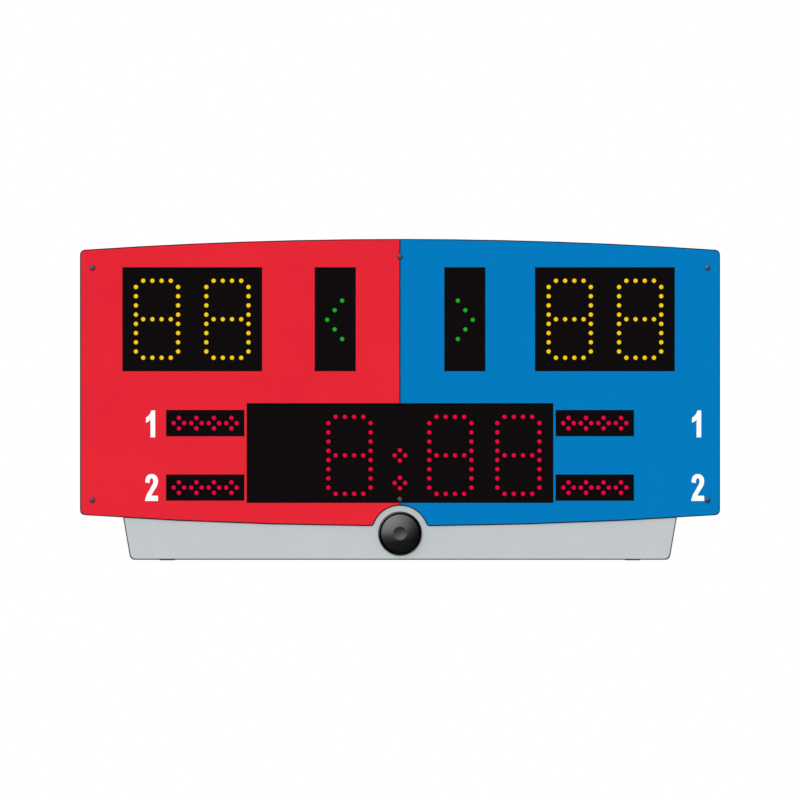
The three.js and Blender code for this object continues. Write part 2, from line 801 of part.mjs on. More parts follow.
function hangerPocket(cover, x) {
  const width = hangerWidth - hangerLedge * 2;
  const height = hangerHeight - hangerLedge * 2;
  const floor = backY - hangerPocketDepth;
  const end = backY + overrun;
  return cover
    .add(pocketShell(x, hangerZ, width, height, floor - pocketWall))
    .subtract(block(x, hangerZ, width, height, floor, end))
    .subtract(block(x, hangerZ, hangerWidth + seat * 2, hangerHeight + seat * 2, hangerFront - seat, end));
}

// Moulded rear half: drafted walls, rounded back edge, lap joint, screw tubes, pockets and vents
function rearCoverMesh() {
  let cover = loft(coverStations(0, coverFront, backY, backRound, backRoundSteps));
  cover = cover.subtract(loft(coverStations(wall, coverFront - overrun, coverInside, backRound - wall, 1)));
  const lapOuter = housingOutline(housingInset + lapThick + seat, lapThick + seat);
  const lapInner = housingOutline(housingInset + wall, wall);
  const lapFront = partingY - lapDepth + seat;
  const lap = loft([{ y: lapFront, points: lapOuter }, { y: coverFront + root, points: lapOuter }]);
  cover = cover.add(lap);
  const lapHollow = [lapFront - overrun, coverFront + overrun].map((y) => ({ y, points: lapInner }));
  cover = cover.subtract(loft(lapHollow));
  for (const { x, z } of coverScrews) {
    cover = cover.add(bar(x, z, tubeRadius, coverFront, coverInside + root));
  }
  for (const side of [-1, 1]) {
    for (const rise of [-1, 1]) {
      const x = side * (controllerWidth / 2 - postInset);
      const z = controllerLift + rise * (controllerHeight / 2 - postInset);
      cover = cover.add(bar(x, z, postRadius, controllerBack + seat, coverInside + root, smallFaces));
    }
  }
  cover = batteryPocket(cover);
  cover = connectorBay(cover);
  for (const side of [-1, 1]) cover = hangerPocket(cover, side * hangerSpread / 2);
  for (const { x, z } of coverScrews) {
    cover = cover.subtract(bar(x, z, holeRadius, coverFront - overrun, backY, smallFaces));
    cover = cover.subtract(bar(x, z, headRadius + seat * 2, coverFront + tubeFloor, backY + overrun));
  }
  for (const { x, z } of doorScrews) {
    cover = cover.subtract(bar(x, z, holeRadius, doorLedgeY - collarDepth - overrun, backY, smallFaces));
  }
  for (const { x, z } of plateScrews) {
    cover = cover.subtract(bar(x, z, holeRadius, bayLedgeY - bayLedgeThick - overrun, backY, smallFaces));
  }
  for (const side of [-1, 1]) {
    for (let i = 0; i < ventCount; i += 1) {
      const x = side * ventSpread / 2;
      const z = crownZ - ventDrop - i * ventPitch;
      cover = cover.subtract(block(x, z, ventLength, ventHeight, coverInside - overrun, backY + overrun));
    }
  }
  for (const place of footPlaces.filter(({ y }) => y > 0)) {
    cover = cover.subtract(footBar(place, footRadius + seat, -overrun, footRecessTop));
  }
  return meshOf('rear_cover', cover, colours.grey);
}

function batteryMeshes() {
  const pack = block(batteryX, batteryLift, batteryWidth, batteryHeight, batteryFront, doorLedgeY);
  let door = block(batteryX, batteryLift, doorWidth, doorHeight, doorFront, doorBack);
  for (const { x, z } of doorScrews) {
    door = door.subtract(bar(x, z, holeRadius, doorFront - overrun, doorBack + overrun, smallFaces));
    door = door.subtract(bar(x, z, headRadius + seat, doorBack - headHeight, doorBack + overrun));
  }
  return [meshOf('battery_pack', pack, colours.battery), meshOf('battery_cover', door, colours.grey)];
}

function controllerMesh() {
  const half = controllerWidth / 2;
  const low = controllerLift - controllerHeight / 2;
  const high = controllerLift + controllerHeight / 2;
  const sheet = board(-half, half, low, high, 0);
  const mesh = meshOf('controller_board', sheet, colours.board);
  mesh.position.y = controllerBack;
  mesh.rotation.z = Math.PI;
  return mesh;
}

// Plate at the bottom of the bay, with a cut-out for each device
function connectorPlateMesh() {
  const width = bayWidth - seat * 2;
  const height = bayHeight - seat * 2;
  const end = plateThick + overrun;
  const cuts = [
    block(switchOffset, 0, switchBodyWidth + seat * 2, switchBodyHeight + seat * 2, -overrun, end),
    bar(inletOffset, 0, inletRadius + seat, -overrun, end),
  ];
  for (const offset of [consoleOffset, extensionOffset]) {
    cuts.push(block(offset, 0, socketBodyWidth + seat * 2, socketBodyHeight + seat * 2, -overrun, end));
  }
  for (const { x, z } of plateScrews) {
    cuts.push(bar(x - bayX, z - bayLift, holeRadius, -overrun, end, smallFaces));
  }
  let sheet = block(0, 0, width, height, 0, plateThick);
  for (const cut of cuts) sheet = sheet.subtract(cut);
  const mesh = meshOf('connector_plate', sheet, colours.steel);
  mesh.position.y = -plateThick;
  return mesh;
}

const pivotY = seat + switchFlange - rockerMiddle * 2;

// Housing of the power switch, open to the back, with the rocker's bearing holes in its cheeks
function switchHousingMesh() {
  const body = block(0, 0, switchBodyWidth, switchBodyHeight, -switchBodyDepth, seat + root);
  const flange = block(0, 0, switchWidth, switchHeight, seat, seat + switchFlange);
  const well = block(0, 0, wellWidth, (rockerReach + seat) * 2, -wellDepth, seat + switchFlange + overrun);
  const bearingRadius = pinRadius + seat;
  const bearingLength = wellWidth + (pinLength + seat) * 2;
  const bearing = new THREE.CylinderGeometry(bearingRadius, bearingRadius, bearingLength, smallFaces);
  bearing.rotateZ(Math.PI / 2);
  bearing.translate(0, pivotY, 0);
  const housing = body.add(flange).subtract(well).subtract(solidOf(bearing));
  const mesh = meshOf('power_switch_housing', housing, colours.socketBlack);
  mesh.position.x = switchOffset;
  return mesh;
}

// Rocker of the power switch, pressed at its upper end, with a pin in each cheek
function rockerMesh() {
  const right = [
    new THREE.Vector2(rockerHubHalf, -rockerHub),
    ...arc(0, 0, rockerReach, -rockerBottomAngle, rockerTopAngle, filletSteps),
    new THREE.Vector2(0, rockerMiddle),
  ];
  const halfWidth = wellWidth / 2 - seat;
  const shape = new THREE.Shape(mirrored(right));
  const rocker = new THREE.ExtrudeGeometry(shape, { depth: halfWidth * 2, bevelEnabled: false });
  rocker.translate(0, 0, -halfWidth);
  rocker.rotateY(Math.PI / 2);
  const pins = new THREE.CylinderGeometry(pinRadius, pinRadius, (halfWidth + pinLength) * 2, smallFaces);
  pins.rotateX(Math.PI / 2);
  pins.rotateY(Math.PI / 2);
  const mesh = meshOf('power_rocker', solidOf(rocker).add(solidOf(pins)), colours.socketBlack);
  mesh.position.set(switchOffset, pivotY, 0);
  mesh.rotation.x = rockerTilt;
  return mesh;
}

// Round charging inlet with its centre pin, and the nut behind the plate
function inletMeshes() {
  const mouth = seat + inletFlangeThick;
  const floor = mouth - inletBoreDepth;
  const inlet = turned([
    [0, mouth - inletLength],
    [inletRadius, mouth - inletLength],
    [inletRadius, seat],
    [inletFlangeRadius, seat],
    [inletFlangeRadius, mouth],
    [inletBore, mouth],
    [inletBore, floor],
    [inletPinRadius, floor],
    [inletPinRadius, mouth - inletPinSink],
    [0, mouth - inletPinSink],
  ], roundFaces);
  const nutBack = -plateThick - seat;
  const nut = bar(0, 0, inletFlangeRadius, nutBack - inletNutThick, nutBack, hexFaces)
    .subtract(bar(0, 0, inletRadius + seat, nutBack - inletNutThick - overrun, nutBack + overrun));
  const meshes = [
    meshOf('charge_inlet', inlet, colours.socketBlack),
    meshOf('charge_inlet_nut', nut, colours.steel),
  ];
  for (const mesh of meshes) mesh.position.x = inletOffset;
  return meshes;
}

// Data socket for the operator's console or for a second board
function socketMesh(name, offset) {
  const flange = block(0, 0, socketFlangeWidth, socketFlangeHeight, seat, seat + socketFlangeThick);
  const body = block(0, 0, socketBodyWidth, socketBodyHeight, -socketBodyDepth, seat + root);
  const flangeBack = seat + socketFlangeThick;
  const mouthFloor = flangeBack - socketMouthDepth;
  const mouth = block(0, 0, socketMouthWidth, socketMouthHeight, mouthFloor, flangeBack + overrun);
  const mesh = meshOf(name, flange.add(body).subtract(mouth), colours.socketBlack);
  mesh.position.x = offset;
  return mesh;
}

function hangerMesh(name, side) {
  const x = side * hangerSpread / 2;
  const keyZ = hangerZ - keyDrop;
  const from = hangerFront - overrun;
  const to = hangerBack + overrun;
  let sheet = block(x, hangerZ, hangerWidth, hangerHeight, hangerFront, hangerBack);
  const key = [
    bar(x, keyZ, keyRadius, from, to),
    bar(x, keyZ + keySlotRise, keySlotRadius, from, to, smallFaces),
    block(x, keyZ + keySlotRise / 2, keySlotRadius * 2, keySlotRise, from, to),
  ];
  for (const cut of key) sheet = sheet.subtract(cut);
  return meshOf(name, sheet, colours.steel);
}

function footMeshes() {
  return footPlaces.map((place) => {
    const pad = footBar(place, footRadius, 0, footThick);
    return meshOf(place.name, pad, colours.rubber);
  });
}

function connectorGroup() {
  const group = new THREE.Group();
  group.position.set(bayX, plateBack, bayLift);
  group.add(connectorPlateMesh(), switchHousingMesh(), rockerMesh(), ...inletMeshes());
  group.add(socketMesh('console_socket', consoleOffset), socketMesh('extension_socket', extensionOffset));
  return group;
}

function screwMeshes() {
  const meshes = panelScrews.map(({ name, x, z, bearing }) => (
    screwMesh(`panel_screw_${name}`, panelScrewLength, smallFaces, x, bearing - seat, z, 'front')));
  coverScrews.forEach(({ x, z }, i) => {
    const bearing = coverFront + tubeFloor + seat;
    meshes.push(screwMesh(`cover_screw_${i + 1}`, coverScrewLength, hexFaces, x, bearing, z, 'back'));
  });
  doorScrews.forEach(({ x, z }, i) => {
    const bearing = doorBack - headHeight + seat;
    meshes.push(screwMesh(`battery_screw_${i + 1}`, smallScrewLength, hexFaces, x, bearing, z, 'back'));
  });
  plateScrews.forEach(({ x, z }, i) => {
    const bearing = plateBack + seat;
    meshes.push(screwMesh(`plate_screw_${i + 1}`, smallScrewLength, hexFaces, x, bearing, z, 'back'));
  });
  return meshes;
}

const scoreboard = new THREE.Group();
scoreboard.add(...panelMeshes(), ...windows.map(displayMesh), ...sirenMeshes(), frontShellMesh());
scoreboard.add(...boardMeshes(), rearCoverMesh(), ...batteryMeshes(), controllerMesh(), connectorGroup());
scoreboard.add(hangerMesh('hanger_plate_left', -1), hangerMesh('hanger_plate_right', 1));
scoreboard.add(...screwMeshes(), ...footMeshes());

export default scoreboard;
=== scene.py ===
import math

import bpy
from mathutils import Matrix, Vector


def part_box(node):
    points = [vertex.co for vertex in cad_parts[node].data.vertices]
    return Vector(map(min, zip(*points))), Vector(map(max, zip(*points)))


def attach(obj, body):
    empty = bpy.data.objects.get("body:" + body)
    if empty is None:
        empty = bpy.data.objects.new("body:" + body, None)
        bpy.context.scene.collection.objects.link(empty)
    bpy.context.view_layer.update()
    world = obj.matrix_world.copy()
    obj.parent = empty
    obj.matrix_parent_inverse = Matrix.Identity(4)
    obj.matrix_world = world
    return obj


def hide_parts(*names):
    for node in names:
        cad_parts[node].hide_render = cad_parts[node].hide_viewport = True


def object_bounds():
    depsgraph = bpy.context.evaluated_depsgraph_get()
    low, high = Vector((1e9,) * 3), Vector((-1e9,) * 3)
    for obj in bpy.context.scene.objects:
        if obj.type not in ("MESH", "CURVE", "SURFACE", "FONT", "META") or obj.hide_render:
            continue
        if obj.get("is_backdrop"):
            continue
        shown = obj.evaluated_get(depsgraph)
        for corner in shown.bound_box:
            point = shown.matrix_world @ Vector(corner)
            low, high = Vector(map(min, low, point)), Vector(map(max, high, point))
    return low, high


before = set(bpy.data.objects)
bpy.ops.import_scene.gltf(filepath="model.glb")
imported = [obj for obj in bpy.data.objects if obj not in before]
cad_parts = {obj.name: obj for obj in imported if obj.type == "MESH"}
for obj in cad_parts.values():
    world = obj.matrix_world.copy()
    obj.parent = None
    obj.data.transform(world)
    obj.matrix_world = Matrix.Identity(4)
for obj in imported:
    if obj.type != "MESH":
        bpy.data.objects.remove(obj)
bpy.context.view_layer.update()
scene = bpy.context.scene
scene.view_settings.view_transform = "Standard"

# The camera stands square to the front, as the public sees the board. The picture it follows shows no
# perspective at all, so the view is a parallel one, and the table lies at the height of one row of it.
picture_width_px = 800
picture_table_row_px = 560.3
metres_per_px = 0.0010313
camera_distance = 2.0

camera_height = (picture_table_row_px - picture_width_px / 2) * metres_per_px
bpy.ops.object.camera_add(location=(0, -camera_distance, camera_height), rotation=(math.pi / 2, 0, 0))
camera = bpy.context.object
camera.data.type = "ORTHO"
camera.data.ortho_scale = picture_width_px * metres_per_px
scene.camera = camera

# The light is that of a plain white studio: even light from the room, a soft key high on the public's left,
# a front light beside the camera and one behind, so that a colour comes out about as it is written. Gloss and
# metal show the white backdrop behind the board, the soft box of the key, and the dim room round the camera.
room_strength = 0.32
backdrop_strength = 1.0
dim_room_strength = 0.02
soft_box_strength = 3.6
soft_box_edge = 0.64
soft_box_core = 1.0
backdrop_start = -0.1
backdrop_full = 0.35
key_from = (-0.5, -1.0, 0.62)
key_strength = 0.2
front_from = (-0.05, -1.0, 0.15)
front_strength = 2.05
rear_from = (0.5, 1.0, 0.7)
rear_strength = 2.8
light_softness = math.radians(16)


def put(tree, kind, values=None, **settings):
    """A new node with its settings, and the values of its unlinked sockets."""
    node = tree.nodes.new(kind)
    for name, value in settings.items():
        setattr(node, name, value)
    for socket, value in (values or {}).items():
        node.inputs[socket].default_value = value
    return node


def join(tree, source, out_socket, target, in_socket):
    tree.links.new(source.outputs[out_socket], target.inputs[in_socket])


def add_soft_light(name, came_from, strength, shows_in_gloss=True):
    bpy.ops.object.light_add(type="SUN", location=came_from)
    light = bpy.context.object
    light.visible_glossy = shows_in_gloss
    light.name = name
    light.data.energy = strength
    light.data.angle = light_softness
    light.rotation_euler = (-Vector(came_from)).to_track_quat("-Z", "Y").to_euler()


def glossy_room(tree):
    """What gloss shows: the backdrop towards +Y, the soft box round the key, and the dim room elsewhere."""
    heading = put(tree, "ShaderNodeTexCoord")
    split = put(tree, "ShaderNodeSeparateXYZ")
    behind = put(tree, "ShaderNodeMapRange", {"From Min": backdrop_start, "From Max": backdrop_full,
                                              "To Min": dim_room_strength, "To Max": backdrop_strength})
    towards_key = put(tree, "ShaderNodeVectorMath", operation="DOT_PRODUCT")
    towards_key.inputs[1].default_value = Vector(key_from).normalized()
    box = put(tree, "ShaderNodeMapRange", {"From Min": soft_box_edge, "From Max": soft_box_core,
                                           "To Min": 0.0, "To Max": soft_box_strength})
    both = put(tree, "ShaderNodeMath", operation="ADD")
    join(tree, heading, "Generated", split, "Vector")
    join(tree, heading, "Generated", towards_key, 0)
    join(tree, split, "Y", behind, "Value")
    join(tree, towards_key, "Value", box, "Value")
    join(tree, behind, "Result", both, 0)
    join(tree, box, "Result", both, 1)
    return both


add_soft_light("key_light", key_from, key_strength, shows_in_gloss=False)
add_soft_light("front_light", front_from, front_strength, shows_in_gloss=False)
add_soft_light("rear_light", rear_from, rear_strength)

world = bpy.data.worlds.new("white_room")
world.use_nodes = True
room_tree = world.node_tree
room_tree.nodes.clear()
room = put(room_tree, "ShaderNodeBackground", {"Color": (1, 1, 1, 1), "Strength": room_strength})
backdrop = put(room_tree, "ShaderNodeBackground", {"Color": (1, 1, 1, 1), "Strength": backdrop_strength})
reflected = put(room_tree, "ShaderNodeBackground", {"Color": (1, 1, 1, 1)})
rays = put(room_tree, "ShaderNodeLightPath")
seen = put(room_tree, "ShaderNodeMath", operation="MAXIMUM")
gloss_mix = put(room_tree, "ShaderNodeMixShader")
seen_mix = put(room_tree, "ShaderNodeMixShader")
world_out = put(room_tree, "ShaderNodeOutputWorld")
join(room_tree, glossy_room(room_tree), 0, reflected, "Strength")
join(room_tree, rays, "Is Glossy Ray", gloss_mix, "Fac")
join(room_tree, room, "Background", gloss_mix, 1)
join(room_tree, reflected, "Background", gloss_mix, 2)
join(room_tree, rays, "Is Camera Ray", seen, 0)
join(room_tree, rays, "Is Transmission Ray", seen, 1)
join(room_tree, seen, 0, seen_mix, "Fac")
join(room_tree, gloss_mix, "Shader", seen_mix, 1)
join(room_tree, backdrop, "Background", seen_mix, 2)
join(room_tree, seen_mix, "Shader", world_out, "Surface")
world.cycles.sampling_method = "NONE"
scene.world = world

# The floor is a plain pale table top under the feet. It keeps the shadow of the board, and in gloss it is
# pale only behind the board, as the backdrop is. The room's light passes through it to the underside, and
# from below it is clear.
floor_radius = 5.0
floor_faces = 64
floor_tone = (0.9, 0.9, 0.9, 1)
floor_gloss_tone = (0.05, 0.05, 0.05, 1)

bpy.ops.mesh.primitive_circle_add(vertices=floor_faces, radius=floor_radius, fill_type="NGON")
floor = bpy.context.object
floor.name = "floor"
floor_material = bpy.data.materials.new("pale_table_top")
floor_material.use_nodes = True
floor_tree = floor_material.node_tree
floor_tree.nodes.clear()
floor_paint = put(floor_tree, "ShaderNodeBsdfDiffuse")
floor_rays = put(floor_tree, "ShaderNodeLightPath")
floor_seen = put(floor_tree, "ShaderNodeMath", operation="MAXIMUM")
floor_shown = put(floor_tree, "ShaderNodeMath", operation="MAXIMUM")
floor_place = put(floor_tree, "ShaderNodeTexCoord")
floor_split = put(floor_tree, "ShaderNodeSeparateXYZ")
floor_behind = put(floor_tree, "ShaderNodeMapRange", {"From Min": backdrop_start, "From Max": backdrop_full})
floor_gloss = put(floor_tree, "ShaderNodeMath", operation="MULTIPLY")
floor_tones = put(floor_tree, "ShaderNodeMix", data_type="RGBA")
floor_tones.inputs[6].default_value = floor_gloss_tone
floor_tones.inputs[7].default_value = floor_tone
floor_clear = put(floor_tree, "ShaderNodeBsdfTransparent")
floor_side = put(floor_tree, "ShaderNodeNewGeometry")
floor_open = put(floor_tree, "ShaderNodeMath", operation="MAXIMUM")
floor_mix = put(floor_tree, "ShaderNodeMixShader")
floor_out = put(floor_tree, "ShaderNodeOutputMaterial")
join(floor_tree, floor_rays, "Is Camera Ray", floor_seen, 0)
join(floor_tree, floor_place, "Object", floor_split, "Vector")
join(floor_tree, floor_split, "Y", floor_behind, "Value")
join(floor_tree, floor_rays, "Is Glossy Ray", floor_gloss, 0)
join(floor_tree, floor_behind, "Result", floor_gloss, 1)
join(floor_tree, floor_gloss, 0, floor_seen, 1)
join(floor_tree, floor_seen, 0, floor_shown, 0)
join(floor_tree, floor_rays, "Is Transmission Ray", floor_shown, 1)
join(floor_tree, floor_shown, 0, floor_tones, "Factor")
floor_tree.links.new(floor_tones.outputs[2], floor_paint.inputs["Color"])
join(floor_tree, floor_side, "Backfacing", floor_open, 0)
join(floor_tree, floor_rays, "Is Diffuse Ray", floor_open, 1)
join(floor_tree, floor_open, 0, floor_mix, "Fac")
join(floor_tree, floor_paint, "BSDF", floor_mix, 1)
join(floor_tree, floor_clear, "BSDF", floor_mix, 2)
join(floor_tree, floor_mix, "Shader", floor_out, "Surface")
floor.data.materials.append(floor_material)
floor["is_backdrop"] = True

# The front panels are two halves of one bowed outline, cut from 3 mm sheet and screwed to the housing. Their
# faces are printed red and blue with a satin skin. Their rounded edges are painted near black, a painted
# shade that draws them as a thin dark line.
# The seam between them is backed by a near-black strip, a painted shade for the shadow in the gap.
outline_round = 0.001
outline_steps = 3
outline_top = 0.315
outline_bottom = 0.058
outline_side = 0.325
seam_reach = 0.001
sheet_edge_round = 0.0003
sheet_edge_steps = 2
seam_edge_round = 0.0004
seam_sink = 0.0005
seam_end_gap = 0.0003
seam_decimals = 5
front_facing = math.cos(math.radians(10))
wall_lean = 0.3
place_tolerance = 0.00002
weld_distance = 0.00001
flat_angle = math.radians(0.1)
crease_angle = math.radians(32)
smooth_angle = math.radians(40)
red_print = "e52736"
blue_print = "0079bd"
edge_shade_tone = "131112"


def paint(code):
    """A colour as it is seen, such as e62a39, as the linear values that a shader takes."""
    parts = [int(code[i:i + 2], 16) / 255 for i in (0, 2, 4)]
    return (*[p / 12.92 if p <= 0.04045 else ((p + 0.055) / 1.055) ** 2.4 for p in parts], 1)


def mottle_group():
    """Soft patches of a second tone, fine grain in the height, and a roughness that wanders."""
    group = bpy.data.node_groups.new("mottle_and_grain", "ShaderNodeTree")
    wanted = [("Tone", "Color"), ("Patch Tone", "Color"), ("Patch Scale", "Float"), ("Grain Scale", "Float"),
              ("Roughness Low", "Float"), ("Roughness High", "Float")]
    for name, kind in wanted:
        group.interface.new_socket(name, in_out="INPUT", socket_type="NodeSocket" + kind)
    for name, kind in [("Color", "Color"), ("Roughness", "Float"), ("Height", "Float")]:
        group.interface.new_socket(name, in_out="OUTPUT", socket_type="NodeSocket" + kind)
    start = put(group, "NodeGroupInput")
    end = put(group, "NodeGroupOutput")
    place = put(group, "ShaderNodeTexCoord")
    patches = put(group, "ShaderNodeTexNoise", {"Detail": 4, "Roughness": 0.55})
    grain = put(group, "ShaderNodeTexNoise", {"Detail": 2, "Roughness": 0.5})
    spread = put(group, "ShaderNodeMapRange", {"From Min": 0.35, "From Max": 0.65})
    tone = put(group, "ShaderNodeMix", data_type="RGBA")
    rough = put(group, "ShaderNodeMapRange", {"From Min": 0.3, "From Max": 0.7})
    join(group, place, "Object", patches, "Vector")
    join(group, place, "Object", grain, "Vector")
    join(group, start, "Patch Scale", patches, "Scale")
    join(group, start, "Grain Scale", grain, "Scale")
    join(group, patches, "Fac", spread, "Value")
    join(group, spread, "Result", tone, "Factor")
    group.links.new(start.outputs["Tone"], tone.inputs[6])
    group.links.new(start.outputs["Patch Tone"], tone.inputs[7])
    group.links.new(tone.outputs[2], end.inputs["Color"])
    join(group, patches, "Fac", rough, "Value")
    join(group, start, "Roughness Low", rough, "To Min")
    join(group, start, "Roughness High", rough, "To Max")
    join(group, rough, "Result", end, "Roughness")
    join(group, grain, "Fac", end, "Height")
    return group


mottle = mottle_group()


def surfaced(name, group, values, depth, gloss, metal):
    """A material whose colour, roughness and height, to this depth, come from a group with its values."""
    material = bpy.data.materials.new(name)
    material.use_nodes = True
    tree = material.node_tree
    shader = tree.nodes["Principled BSDF"]
    shader.inputs["Metallic"].default_value = metal
    shader.inputs["Specular IOR Level"].default_value = gloss
    surface = put(tree, "ShaderNodeGroup", values, node_tree=group)
    bump = put(tree, "ShaderNodeBump", {"Distance": depth, "Strength": 1.0})
    join(tree, surface, "Color", shader, "Base Color")
    join(tree, surface, "Roughness", shader, "Roughness")
    join(tree, surface, "Height", bump, "Height")
    join(tree, bump, "Normal", shader, "Normal")
    return material


def finish_of(name, tone, patch_tone, patch_scale, grain_scale, roughness, grain_depth, gloss, metal=0.0):
    """A material with the mottle and grain: its roughness is a pair, and gloss its specular level."""
    values = {"Tone": paint(tone), "Patch Tone": paint(patch_tone), "Patch Scale": patch_scale,
              "Grain Scale": grain_scale, "Roughness Low": roughness[0], "Roughness High": roughness[1]}
    return surfaced(name, mottle, values, grain_depth, gloss, metal)


def make_active(piece):
    bpy.ops.object.select_all(action="DESELECT")
    piece.select_set(True)
    bpy.context.view_layer.objects.active = piece


def merged_copy(name, node, whole_faces=True):
    """A new piece from a CAD node's mesh, its triangles merged and, where wanted, its flat faces whole."""
    piece = bpy.data.objects.new(name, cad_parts[node].data.copy())
    scene.collection.objects.link(piece)
    piece.data.materials.clear()
    make_active(piece)
    bpy.ops.mesh.customdata_custom_splitnormals_clear()
    bpy.ops.object.mode_set(mode="EDIT")
    bpy.ops.mesh.select_all(action="SELECT")
    bpy.ops.mesh.remove_doubles(threshold=weld_distance)
    if whole_faces:
        bpy.ops.mesh.dissolve_limited(angle_limit=flat_angle)
    bpy.ops.object.mode_set(mode="OBJECT")
    return piece


def wall_edges(piece, wanted=lambda polygon: True):
    """Keys of the edges round the wanted faces that stand square to the front."""
    walls = [p for p in piece.data.polygons if abs(p.normal.y) < wall_lean and wanted(p)]
    return {key for polygon in walls for key in polygon.edge_keys}


def bevel_edges(piece, wanted, width, steps):
    """Rounds only the wanted edges of a piece, each told by its key and its two ends."""
    make_active(piece)
    bpy.ops.object.mode_set(mode="EDIT")
    bpy.ops.mesh.select_mode(type="EDGE")
    bpy.ops.mesh.select_all(action="DESELECT")
    bpy.ops.object.mode_set(mode="OBJECT")
    vertices = piece.data.vertices
    for edge in piece.data.edges:
        edge.select = wanted(edge.key, [vertices[i].co for i in edge.vertices])
    bpy.ops.object.mode_set(mode="EDIT")
    bpy.ops.mesh.bevel(offset=width, segments=steps, affect="EDGES")
    bpy.ops.object.mode_set(mode="OBJECT")


def round_edges(piece, width, steps, angle=crease_angle):
    make_active(piece)
    bpy.ops.object.modifier_add(type="BEVEL")
    bevel = piece.modifiers[-1]
    bevel.width = width
    bevel.segments = steps
    bevel.limit_method = "ANGLE"
    bevel.angle_limit = angle
    bpy.ops.object.modifier_apply(modifier=bevel.name)


def shade_smooth(piece, angle=smooth_angle):
    """Smooth shading that leaves large flat faces flat, as a moulding's or a sheet's are."""
    make_active(piece)
    bpy.ops.object.shade_smooth_by_angle(angle=angle)
    bpy.ops.object.modifier_add(type="WEIGHTED_NORMAL")
    weighted = piece.modifiers[-1]
    weighted.keep_sharp = True
    bpy.ops.object.modifier_apply(modifier=weighted.name)


def fit(piece, body, slot, *nodes):
    """The piece moves with its body and stands for the nodes, which it hides. The slot is not used."""
    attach(piece, body)
    if nodes:
        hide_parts(*nodes)


def dress(piece, material, slot, *nodes, smooth=smooth_angle):
    """Finishes a piece of the fixed body that has one material."""
    piece.data.materials.append(material)
    shade_smooth(piece, smooth)
    fit(piece, "scoreboard", slot, *nodes)


def front_panel(node, material, slot):
    """One half of the front: its outline and its seam edge are rounded, and only its face is printed."""
    panel = merged_copy(node + "_sheet", node)
    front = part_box(node)[0].y
    walls = wall_edges(panel)

    def at_front(key, ends):
        return key in walls and all(end.y < front + place_tolerance for end in ends)

    def at_seam(ends):
        return all(abs(end.x) < seam_reach for end in ends)

    def outside(end):
        return end.z > outline_top or end.z < outline_bottom or abs(end.x) > outline_side

    def on_outline(key, ends):
        return at_front(key, ends) and all(outside(end) for end in ends) and not at_seam(ends)

    def on_seam(key, ends):
        return at_front(key, ends) and at_seam(ends)

    bevel_edges(panel, on_outline, outline_round, outline_steps)
    walls = wall_edges(panel)
    bevel_edges(panel, on_seam, seam_edge_round, sheet_edge_steps)
    round_edges(panel, sheet_edge_round, sheet_edge_steps)
    panel.data.materials.append(material)
    panel.data.materials.append(sheet_edge)
    # The face takes the print; every other face, the rounded edge with it, takes the near-black tone, a
    # painted shade.
    for face in panel.data.polygons:
        face.material_index = 0 if face.normal.y < -front_facing else 1
    shade_smooth(panel)
    fit(panel, "scoreboard", slot, node)


# A near-black tone for the panels' edges: a painted shade, dark whatever light falls on them.
sheet_edge = finish_of("painted_shade_sheet_edge", edge_shade_tone, "191617", 90, 1500, (0.5, 0.65), 0.00002, 0.0)
red_sheet = finish_of("red_print", red_print, "e22534", 14, 700, (0.4, 0.5), 0.000012, 0.05)
blue_sheet = finish_of("blue_print", blue_print, "0078bb", 14, 700, (0.4, 0.5), 0.000012, 0.05)
front_panel("red_panel", red_sheet, "red_sheet")
front_panel("blue_panel", blue_sheet, "blue_sheet")

# A near-black strip sunk into the seam: a painted shade that stands for the shadow in the gap.
seam_shade_finish = finish_of("painted_seam_shade", "101010", "161616", 200, 1100, (0.5, 0.65), 0.00002, 0.05)
seam_low, seam_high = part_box("red_panel")
seam_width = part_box("blue_panel")[0].x - seam_high.x
seam_front = seam_low.y + seam_sink
seam_ends = sorted({round(vertex.co.z, seam_decimals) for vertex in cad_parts["red_panel"].data.vertices
                    if abs(vertex.co.x - seam_high.x) < place_tolerance})
for i, (start_z, end_z) in enumerate(zip(seam_ends[::2], seam_ends[1::2])):
    place = (0, (seam_front + seam_high.y) / 2, (start_z + end_z) / 2)
    size = (seam_width, seam_high.y - seam_front, end_z - start_z - seam_end_gap * 2)
    bpy.ops.mesh.primitive_cube_add(size=1, location=place, scale=size)
    seam_strip = bpy.context.object
    bpy.ops.object.transform_apply(location=True, scale=True)
    seam_strip.name = f"seam_shade_strip_{i + 1}"
    seam_strip.data.materials.append(seam_shade_finish)
    fit(seam_strip, "scoreboard", "display_black")

# The display modules are boards potted in black resin, set 2 mm back in their windows. Each has a narrow rim
# round its face, and every diode stands in a low collar that keeps its light from its neighbours.
dot_radius = 0.0023
dot_proud = 0.0017
dot_sides = 16
dot_rings = 8
dot_flatten = dot_proud / dot_radius
collar_wall = 0.0005
collar_height = 0.0004
collar_root = 0.0002
window_lip = 0.003
rim_width = 0.0014
rim_height = 0.0003
module_edge_round = 0.0003
dot_pitch = 0.0095
digit_width = 0.0435
digit_height = 0.0794
digit_column_dots = 8
digit_row_dots = 4
score_digit_pitch = 0.0726
clock_digit_pitch = 0.0702
clock_last_inset = 0.0356
clock_drop = 0.0024
colon_room = 0.0338
colon_drop = 0.0285
chevron_step_x = 0.0077
chevron_step_z = 0.0099
chevron_arm_dots = 2
chevron_shift = 0.0006
chevron_drop = 0.0006
diamond_reach = 0.0054
diamond_pitch = 0.01805
diamond_count = 4
clock_screw_rise = 0.0036
clock_screw_hole = 0.0018
resin_black = "0c090a"
lit_yellow = "f9cd1b"
lit_green = "24a62b"
lit_red = "e70542"
# The lens tone and glow rise from the rim to the crown; the rise of the tone is painted dome shading.
crown_shade_facing = -0.75
crown_shaded_base_shares = (0.25, 0.35)
lens_glow_shares = (0.5, 0.66)
looks_along = 0.5


